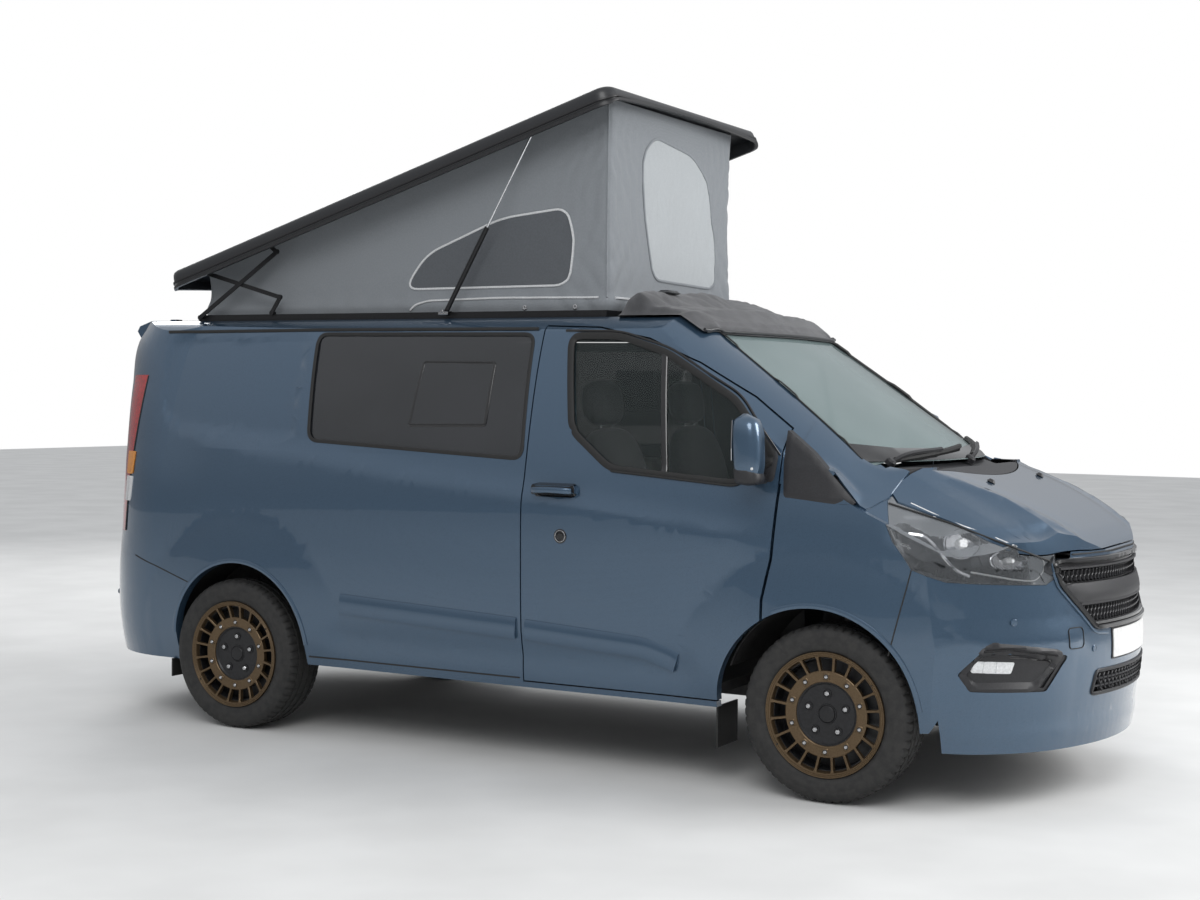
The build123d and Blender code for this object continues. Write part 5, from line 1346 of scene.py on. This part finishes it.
for start, middle, end in (((-0.61, 1.33), (-0.3, 1.352), (0.06, 1.372)),
                           ((0.06, 1.336), (0.33, 1.36), (0.64, 1.392))):
    path = [on_nose(start[0] * (1 - t) ** 2 + middle[0] * 2 * t * (1 - t) + end[0] * t * t,
                    start[1] * (1 - t) ** 2 + middle[1] * 2 * t * (1 - t) + end[1] * t * t, 0.018)
            for t in np.linspace(0, 1, 24)]
    name = "right" if start[0] < -0.3 else "middle"
    band(f"wiper_blade_{name}", path, [Vector((0.6, 0, 0.8))] * 24,
         [(-0.009, -0.012), (-0.011, 0.0), (-0.004, 0.008), (0.004, 0.008), (0.011, 0.0), (0.009, -0.012)],
         rubber)
    foot = on_nose(start[0] - 0.03, 1.318, 0.012)
    reach = path[13] + Vector((0.01, 0, 0.012))
    arm_path = curve_through([foot, foot.lerp(reach, 0.25) + Vector((0.022, 0, 0.022)), reach], 10)
    band(f"wiper_arm_{name}", arm_path, [Vector((0.6, 0, 0.8))] * len(arm_path),
         [(-0.009, -0.005), (-0.006, 0.005), (0.006, 0.005), (0.009, -0.005)], black_plastic)
    wipers.lathe([(0, -0.012), (0.022, -0.012), (0.022, 0.006), (0.016, 0.014), (0, 0.016)], 0,
                 upright(foot, (0.6, 0, 0.8)), 24, False)
wipers.put("wiper_pivots", black_plastic)
jets = Form()
for side in (-1, 1):
    jets.block((-0.018, -0.01, -0.004), (0.018, 0.01, 0.012), 0,
               Matrix.Translation(on_top(1.9875, side * 0.361)) @ Matrix.Rotation(radians(24), 4, "Y"),
               0.006, 0.7)
jets.put("washer_jets", black_plastic, "bonnet_lid")
strip("bonnet_front_edge", [(-0.572, 0.978), (0.572, 0.978)], on_nose, 0.006, 0.001, rubber)

# Parking sensors and the towing cover of the bumpers
sensors = Form()
sensor = [(0, -0.004), (0.0135, -0.004), (0.0135, 0.001), (0.0115, 0.0018), (0.0105, 0.0006), (0, 0.001)]
for y, z in ((-0.78, 0.735), (-0.4, 0.61), (0.4, 0.61), (0.78, 0.735)):
    at = on_nose(y, z)
    lean = (on_nose(y + 0.03, z) - on_nose(y - 0.03, z)).cross(Vector((0, 0, 1)))
    sensors.lathe(sensor, 0, upright(at, lean if lean.x > 0 else -lean), 28, False)
for y in (-0.72, -0.3, 0.3, 0.72):
    sensors.lathe(sensor, 0, upright(on_tail(y, 0.56), (-1, 0, 0)), 28, False)
sensors.put("parking_sensors", paint)
towing_cover = rounded(oblong(-0.56, -0.47, 0.62, 0.7), 0.02)
strip("towing_cover_line", towing_cover, on_nose, 0.003, 0.0006, rubber, closed=True)

# Tail: glass seal, plate, lamps, handle, wiper and the roof spoiler

tail_glass = [(0.61, 1.12), (0.59, 1.5), (0.54, 1.77), (-0.54, 1.77), (-0.59, 1.5),
              (-0.61, 1.12)]
strip("tail_glass_seal", tail_glass, on_tail, 0.018, 0.003, rubber, "tail_door", "black_trim", True, 0.05)
patch("rear_plate_holder", oblong(-0.27, 0.27, 0.8, 0.93), on_tail,
      black_plastic, "tail_door", lift=0.003, depth=0.006, corner=0.01)
patch("rear_plate", oblong(-0.26, 0.26, 0.809, 0.921), on_tail, plate_white,
      "tail_door", lift=0.0065, depth=0.004, corner=0.008)
patch("plate_lamp_bar", [(-0.3, 0.955), (0.3, 0.955), (0.285, 1.01), (-0.285, 1.01)], on_tail, paint,
      "tail_door", lift=0.012, depth=0.01, corner=0.02, edge=0.01)
patch("tail_handle", [(-0.075, 0.96), (0.075, 0.96), (0.07, 0.985), (-0.07, 0.985)], on_tail, gloss_black,
      "tail_door", lift=0.0145, depth=0.004, corner=0.01)
strip("rear_wiper", [(0.045, 1.165), (-0.33, 1.19)], on_tail, 0.014, 0.014, rubber, "tail_door",
      lift=0.004)
rear = Form()
rear.lathe([(0, -0.01), (0.028, -0.01), (0.028, 0.012), (0.02, 0.02), (0, 0.022)], 0,
           upright(on_tail(0.05, 1.15), (-1, 0, 0.1)), 28, False)
rear.put("rear_wiper_pivot", black_plastic, "tail_door")
patch("bumper_step", [(-0.7, 0.7), (0.7, 0.7), (0.72, 0.76), (-0.72, 0.76)], on_tail,
      black_plastic, lift=0.003, depth=0.008, corner=0.02)
for y in (-0.62, 0.62):
    patch(f"rear_reflector_{'right' if y < 0 else 'left'}",
          oblong(y - 0.075, y + 0.075, 0.43, 0.462), on_tail, red_lens, lift=0.004, depth=0.006,
          corner=0.01)
spoiler = Form()
profile = [(-2.372, 1.842), (-2.395, 1.874), (-2.38, 1.899), (-2.3, 1.925), (-2.27, 1.925),
           (-2.285, 1.905)]
points = []
for k in range(25):
    y = -0.6 + 0.05 * k
    bend = 0.055 * (abs(y) / 0.6) ** 2.4
    points += [(x + bend, y, z - 0.014 * (abs(y) / 0.6) ** 2) for x, z in profile]
spoiler.add(points, loft(25, len(profile)))
spoiler.put("roof_spoiler", paint, "tail_door")
patch("high_brake_lamp", [(-0.14, 1.856), (0.14, 1.856), (0.138, 1.872), (-0.138, 1.872)], on_tail,
      red_lens, "tail_door", lift=0.002, depth=0.006, corner=0.006)
for side, hand in ((-1, "right"), (1, "left")):
    lens = on_side(side)
    for k, (low, high, finish) in enumerate(((1.03, 1.15, white_lens), (1.16, 1.27, amber_lens))):
        outline = [(-2.165, low), (-2.105 + (low - 0.9) * 0.06, low), (-2.098 + (high - 0.9) * 0.06, high),
                   (-2.16, high)]
        patch(f"tail_lens_{k}_{hand}", outline, lens, finish, slot="lamp_red", lift=0.002, depth=0.004,
              corner=0.012)
    strip(f"tail_lamp_seal_{hand}", [(-2.15, 0.884), (-2.112, 1.2), (-2.042, 1.636)], lens, 0.006, 0.001,
          rubber)


# Tent: one sheet round four walls, with its windows, seams and piping

tent_tan, tent_top_start = 0.30895, 2.115
tent_corner = 0.035


def tent_top(x):
    return tent_top_start + (x + 1.969) * tent_tan


def tent_ring(s):
    """Plan of the tent's wall: place and outward direction at a distance s from the front's middle."""
    runs = [("line", (tent_front, 0), (0, -1), tent_half - tent_corner, (1, 0)),
            ("arc", (tent_front - tent_corner, tent_corner - tent_half), 0),
            ("line", (tent_front - tent_corner, -tent_half), (-1, 0),
             tent_front - tent_rear - 2 * tent_corner, (0, -1)),
            ("arc", (tent_rear + tent_corner, tent_corner - tent_half), -90),
            ("line", (tent_rear, tent_corner - tent_half), (0, 1), 2 * (tent_half - tent_corner), (-1, 0)),
            ("arc", (tent_rear + tent_corner, tent_half - tent_corner), -180),
            ("line", (tent_rear + tent_corner, tent_half), (1, 0), tent_front - tent_rear - 2 * tent_corner,
             (0, 1)),
            ("arc", (tent_front - tent_corner, tent_half - tent_corner), -270),
            ("line", (tent_front, tent_half - tent_corner), (0, -1), tent_half - tent_corner, (1, 0))]
    quarter = tent_corner * pi / 2
    for run in runs:
        reach = quarter if run[0] == "arc" else run[3]
        if s <= reach or run is runs[-1]:
            if run[0] == "arc":
                a = radians(run[2]) - s / tent_corner
                return run[1][0] + tent_corner * cos(a), run[1][1] + tent_corner * sin(a), cos(a), sin(a)
            return run[1][0] + run[2][0] * s, run[1][1] + run[2][1] * s, run[4][0], run[4][1]
        s -= reach


tent_round = 4 * (tent_half - tent_corner) + 2 * (tent_front - tent_rear - 2
                                                  * tent_corner) + 2 * pi * tent_corner


def fold(value, width):
    return np.exp(-(value / width) ** 2)


def tent_give(x, z, along):
    """How far the cloth stands out of its flat wall: slack, pull lines from the corners, fine creases."""
    top = tent_top(x)
    height = (z - tent_base) / (top - tent_base)
    front = ease(np.array(x), 0.3, 0.36)
    slack = -0.016 * np.sin(pi * np.clip(height, 0, 1)) ** 0.8
    to_corner = np.minimum(np.abs(along - (tent_half - 0.02)), np.abs(along + (tent_half - 0.02)))
    near_corner = fold(to_corner, 0.24)
    sway = 0.9 * np.sin(5.2 * z) + 0.33 * np.sin(17 * z)
    creases = 0.0075 * np.abs(np.sin(pi * (to_corner / 0.066 + sway))) ** 0.6
    creases += 0.0058 * np.abs(np.sin(pi * (to_corner * 9 + z * 8 + np.sin(7 * z)))) ** 0.7 - 0.006
    creases *= near_corner * np.sin(pi * np.clip(height, 0.02, 0.98)) ** 0.5
    pull = 0.0085 * np.abs(np.sin(pi * (z * 7.5 - to_corner * 8))) ** 0.6 * fold(to_corner, 0.3)
    pull *= fold(height - 0.12, 0.26)
    stripes = np.abs(np.sin(pi * (along * 21 + 1.1 * np.sin(6 * z) + 0.5 * np.sin(15 * z)))) ** 0.6
    fine = 0.0034 * stripes * np.sin(pi * np.clip(height, 0, 1)) * (0.35 + 0.65
            * np.sin(3.1 * z + 9 * along) ** 2)
    hem = 0.01 * fold(z - 1.968, 0.03) + 0.003 * fold(z - 1.968, 0.05) * np.sin(2 * pi * along / 0.145)
    return slack + creases + pull + fine * (0.25 + 0.75 * front) + hem


def tent_point(s, z, out=0.0):
    x, y, nx, ny = tent_ring(s)
    if s < tent_half:
        across = s
    elif s < tent_half + (tent_front - tent_rear):
        across = tent_half - 0.02 + (s - tent_half)
        across = min(across, tent_half - 0.02 + 1.6)
    elif s > tent_round - tent_half:
        across = s - tent_round
    elif s > tent_round - tent_half - (tent_front - tent_rear):
        across = -(tent_half - 0.02) - (tent_round - tent_half - s)
    else:
        across = 0.62
    give = float(tent_give(x, z, np.array(across))) + out
    return Vector((x + nx * give, y + ny * give, z))


columns, rows = 500, 58
points, faces = [], []
for k in range(columns):
    s = tent_round * k / columns
    foot = tent_base + 0.001
    top = tent_top(tent_ring(s)[0])
    for i in range(rows + 1):
        points.append(tent_point(s, foot + (top - foot) * i / rows))
for k in range(columns):
    j = (k + 1) % columns
    faces += [(k * (rows + 1) + i, k * (rows + 1) + i + 1, j * (rows + 1) + i + 1, j * (rows + 1) + i)
              for i in range(rows)]
tent = put("tent", points, faces, tent_cloth, None, "body", "tent_fabric", 180)
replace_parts(tent, "roof_tent")


def on_tent_front(a, b, out=0.0):
    """Places front-view points (y, height) on the tent's front wall."""
    s = -a if a <= 0 else tent_round - a
    return tent_point(s, b, out)


def on_tent_side(side):
    def land(a, b, out=0.0):
        s = tent_half + (tent_front - a) - 0.5 * (4 - pi) * tent_corner
        if side > 0:
            s = tent_round - s
        return tent_point(s, b, out)
    land.out, land.flip = Vector((0, side, 0)), side < 0
    return land


on_tent_front.out, on_tent_front.flip = Vector((1, 0, 0)), False
tent_pieces = []
front_window = [(-0.204, 2.73), (-0.31, 2.64), (-0.293, 2.439), (-0.2, 2.091), (0.43, 2.081),
                (0.455, 2.275), (0.36, 2.59), (0.19, 2.69)]
tent_pieces.append(patch("tent_front_window", front_window, on_tent_front, tent_pale, lift=0.002,
                         depth=0.0012, spacing=0.016, corner=0.07))
tent_pieces.append(strip("tent_front_zip", front_window, on_tent_front, 0.012, 0.004, tent_cloth,
                         closed=True, corner=0.07, lift=0.001))
side_window = [(-0.7, 2.042), (-0.584, 2.2), (-0.184, 2.35), (0.15, 2.384), (0.195, 2.262),
               (0.18, 2.046)]
for side, hand in ((-1, "right"), (1, "left")):
    land = on_tent_side(side)
    tent_pieces.append(patch(f"tent_side_window_{hand}", side_window, land, tent_mesh, lift=0.002,
                             depth=0.0012, spacing=0.022, corner=0.08))
    tent_pieces.append(strip(f"tent_window_piping_{hand}", side_window, land, 0.01, 0.005, piping,
                             closed=True, corner=0.08, lift=0.001))
    base_line = [(-0.655, 1.945), (-0.625, 1.972), (-0.56, 1.988), (-0.18, 1.996), (0.33, 1.99)]
    tent_pieces.append(strip("tent_base_piping_" + hand, base_line, land, 0.01, 0.006, piping,
                             corner=0.04, lift=0.001))
    corner_path = [tent_point(tent_half if side < 0 else tent_round - tent_half, z, 0.001)
                   for z in np.linspace(1.99, tent_top(tent_front) - 0.01, 90)]
    tent_pieces.append(tube("tent_corner_seam_" + hand, corner_path, 0.0045, tent_cloth, sides=8,
                            up=(1, side, 0)))
tent_pieces.append(strip("tent_front_piping", [(-0.585, 1.99), (0.585, 1.99)], on_tent_front, 0.01,
                         0.006, piping, lift=0.001))
eyelets = Form()
for x in (-0.045, 0.215):
    for side in (-1, 1):
        at = on_tent_side(side)(x, 1.95, 0.0005)
        eyelets.lathe([(0.004, 0), (0.011, 0), (0.011, 0.002), (0.0075, 0.0032), (0.004, 0.002)], 0,
                      upright(at, (0, side, 0)), 24)
tent_pieces.append(eyelets.put("tent_eyelets", steel, slot="bright_rod"))
for piece in [tent] + tent_pieces:
    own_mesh(piece)

# Raised lid: a moulded tray with a deeper front skirt and a double edge moulding

lid_along = Vector((cos(lid_tilt), 0, sin(lid_tilt)))
lid_up = Vector((-sin(lid_tilt), 0, cos(lid_tilt)))


def lid_point(u, v, h):
    return lid_rear + lid_along * u + Vector((0, v, 0)) + lid_up * h


def lid_ring(inset):
    """The lid's outline in its own plane, moved in by the inset."""
    ring = []
    left, right, half = inset, lid_length - inset, lid_half - inset
    radius = max(lid_radius - inset, 0.004)
    arcs = ((right - radius, half - radius, 0), (left + radius, half - radius, 90),
            (left + radius, radius - half, 180), (right - radius, radius - half, 270))
    for k, (u, v, start) in enumerate(arcs):
        corner = [(u + radius * cos(radians(start + 90 * i / 14)),
                   v + radius * sin(radians(start + 90 * i / 14)))
                  for i in range(15)]
        after = arcs[(k + 1) % 4]
        first = (after[0] + radius * cos(radians(after[2])), after[1] + radius * sin(radians(after[2])))
        cells = 60 if k in (0, 2) else 30
        ring += corner + [(corner[-1][0] + (first[0] - corner[-1][0]) * i / cells,
                           corner[-1][1] + (first[1] - corner[-1][1]) * i / cells) for i in range(1, cells)]
    return ring


def lid_rim(u, v):
    """The height at which the lid's rim clears the roof when the lid is closed and lies level."""
    x = u - 1.9252
    over = 0.018 if x > 0.4 else 0.006
    return max(0.0, on_top(x, max(min(v, 0.775), -0.775)).z + over - 1.9005)


profile = [(0.3, 0.072), (0.06, 0.07), (0.013, 0.058), (0.012, 0.004), (0.01, 0.0), (0.002, 0.0),
           (0.0, 0.004), (0.0, 0.014), (0.005, 0.017), (0.005, 0.023), (0.0015, 0.026), (0.0025, 0.054),
           (0.005, 0.07), (0.01, 0.079), (0.02, 0.085), (0.042, 0.0875), (0.1, 0.088), (0.2, 0.088),
           (0.34, 0.088), (0.5, 0.088), (0.64, 0.088), (0.74, 0.088)]
points = []
rims = [lid_rim(u, v) for u, v in lid_ring(0)]
for level, (inset, height) in enumerate(profile):
    for (u, v), rim_height in zip(lid_ring(inset), rims):
        h = height
        if height < 0.055 and level < 13:
            h = rim_height + height * (1 - rim_height / 0.055)
        if inset > 0.04 and level > 10:
            h = 0.086 + lid_crown * (1 - (v / lid_half) ** 2) * min((inset - 0.02) / 0.06, 1) ** 0.6 * 0.95
            rib = abs(abs(v) - 0.46)
            h += 0.005 * max(0.0, 1 - rib / 0.05) * min((min(u, lid_length - u)) / 0.5, 1)
        points.append(lid_point(u, v, min(h, 0.1125)))
lid = put("lid_shell", points, loft(len(profile), len(rims)), lid_skin, None, "lid", "lid_skin", 50)
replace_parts(lid, "roof_lid")
for name, height, size in (("lower", 0.006, 0.006), ("upper", 0.03, 0.0045)):
    path = []
    for (u, v), rim_height in zip(lid_ring(0), rims):
        path.append(lid_point(u, v, rim_height + height * (1 - rim_height / 0.055)))
    band(f"lid_moulding_{name}", path, [lid_up] * len(path),
         [(-size, -size), (-size * 1.1, 0), (-size, size), (size, size), (size * 1.1, 0), (size, -size)],
         edge_trim, "lid", "black_trim", True)

# Folded cover over the cab roof

cover_front, cover_rear, cover_half = 0.985, 0.405, 0.735


def cover_point(u, v):
    y = cover_half * v
    front = cover_front - 0.105 * abs(v) ** 2.2
    rear = cover_rear + 0.02 * np.sin(v * 5.1) + 0.055 * abs(v) ** 5
    x = rear + (front - rear) * u
    floor_z = on_top(min(x, 1.0), max(min(y, 0.7), -0.7)).z
    floor_z = min(floor_z, 1.935)
    rim = min(ease(np.array(u), 0, 0.1), ease(np.array(1 - u), 0, 0.06), ease(np.array(1 - abs(v)), 0, 0.06))
    bulge = 0.082 * fold(u - 0.2, 0.2) * (1 - 0.25 * abs(v)) + 0.012
    bulge += 0.02 * fold(abs(v) - 0.72, 0.2) * fold(u - 0.35, 0.3)
    folds = 0.017 * (abs(np.sin(pi * (1.9 * u + 0.35 * np.sin(3.1 * v + 0.4) + 1.3 * abs(v) * u))) ** 0.7
                     - 0.5)
    folds += 0.008 * (abs(np.sin(pi * (2.1 * v + 0.9 * u + 0.3 * np.sin(5 * u)))) ** 0.7 - 0.5)
    folds += 0.0045 * (abs(np.sin(pi * (4.1 * v - 2.6 * u + 0.4 * np.sin(7 * v)))) ** 0.7 - 0.5)
    folds += 0.0016 * np.sin(2 * pi * (7.0 * u + 3.0 * v + 0.6 * np.sin(9 * v)))
    lower = 0.5 - 0.5 * np.tanh((u - 0.72) / 0.1)
    z = floor_z + 0.004 + float(rim) * (bulge + folds * (0.3 + 0.7 * lower))
    return Vector((x, y, z))


across, lengthways = 150, 64
points = [cover_point(i / lengthways, 2 * k / across - 1) for k in range(across + 1)
          for i in range(lengthways + 1)]
n = lengthways + 1
faces = [(k * n + i, k * n + i + 1, (k + 1) * n + i + 1, (k + 1) * n + i)
         for k in range(across) for i in range(lengthways)]
cover = put("cover", points, faces, cover_cloth, None, "body", "cover_fabric", 180)
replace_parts(cover, "roof_cover")
front_hem = [cover_point(0.985, v) + Vector((0.004, 0, 0.003)) for v in np.linspace(-0.985, 0.985, 90)]
hem = tube("cover_front_hem", front_hem, 0.0075, lid_skin, slot="cover_fabric", sides=10)
pocket = Form()
pocket.block((-0.03, -0.06, -0.006), (0.03, 0.06, 0.01), 0,
             Matrix.Translation(cover_point(0.3, -0.6) + Vector((0, 0, 0.004))), 0.01, 0.8)
pocket_piece = pocket.put("cover_pocket", lid_skin, slot="cover_fabric")
for piece in (cover, hem, pocket_piece):
    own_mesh(piece)

# Seats: padded, on the plain bases of their source

for side, hand in ((-1, "right"), (1, "left")):
    cy = side * 0.42
    pad(f"seat_pad_{hand}", "front_seats", (0.335, cy - 0.25, 0.7), (0.865, cy + 0.25, 0.835))
    back = Matrix.Translation((0.335, cy, 1.09)) @ Matrix.Rotation(radians(-12), 4, "Y")
    pad(f"seat_back_{hand}", "front_seats", (-0.072, -0.24, -0.335), (0.072, 0.24, 0.34), back)
    head = Matrix.Translation((0.24, cy, 1.535)) @ Matrix.Rotation(radians(-10), 4, "Y")
    pad(f"seat_head_{hand}", "front_seats", (-0.052, -0.135, -0.1), (0.052, 0.135, 0.1), head)
    base = Form()
    base.block((0.385, cy - 0.17, 0.426), (0.815, cy + 0.17, 0.705), 0, None, 0.02, 0.96)
    for y in (cy - 0.05, cy + 0.05):
        base.lathe([(0, 0), (0.007, 0), (0.007, 0.1), (0, 0.1)], 1,
                   upright((0.262, y, 1.388), (-0.15, 0, 1)), 16, False)
    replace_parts(base.put(f"seat_base_{hand}", [black_plastic, steel]), "front_seats")
pad("bench_pad", "rear_bench", (-1.48, -0.6, 0.7), (-0.9, 0.38, 0.86))
pad("bench_back", "rear_bench", (-1.59, -0.6, 0.855), (-1.44, 0.38, 1.415))
bench_base = Form()
bench_base.block((-1.475, -0.595, 0.426), (-0.91, 0.375, 0.705), 0, None, 0.012)
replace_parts(bench_base.put("bench_base", cabinet_board, slot="cabinet"), "rear_bench")

# Finishes of the parts that keep their own solids

finishes = (
    (frame_metal, ("roof_frame", "roof_pivots", "roof_arms", "lid_links", "cross_arms", "base_links",
                   "strut_cylinders")),
    (chrome, ("strut_rods",)), (lining, ("bulkhead",)), (cast_metal, ("engine",)), (steel, ("exhaust",)),
    (chassis_black, ("floor_pan", "front_structure", "front_subframe", "rear_axle")),
    (black_plastic, ("fuel_tank", "dashboard")), (rubber, ("mudflaps", "steering_wheel")),
    (cabinet_board, ("living_unit",)), (disc_iron, ("knuckle_right", "knuckle_left")))
for finish, kept_nodes in finishes:
    for node in kept_nodes:
        for material_slot in nodes[node].material_slots:
            material_slot.link = "OBJECT"
            material_slot.material = finish
foot_x, foot_z = -0.4135, 1.93
pins = Form()
for side in (-1, 1):
    pins.block((-0.026, -0.005, -0.012), (0.026, 0.005, 0.004), 0,
               Matrix.Translation((foot_x, side * 0.722, foot_z)), 0.002)
    pins.lathe([(0, -0.006), (0.008, -0.006), (0.008, 0.008), (0.006, 0.01), (0, 0.01)], 0,
               upright((foot_x, side * 0.726, foot_z + 0.004), (0, side, 0)), 20, False)
pins.put("strut_feet", steel, slot="bright_rod")
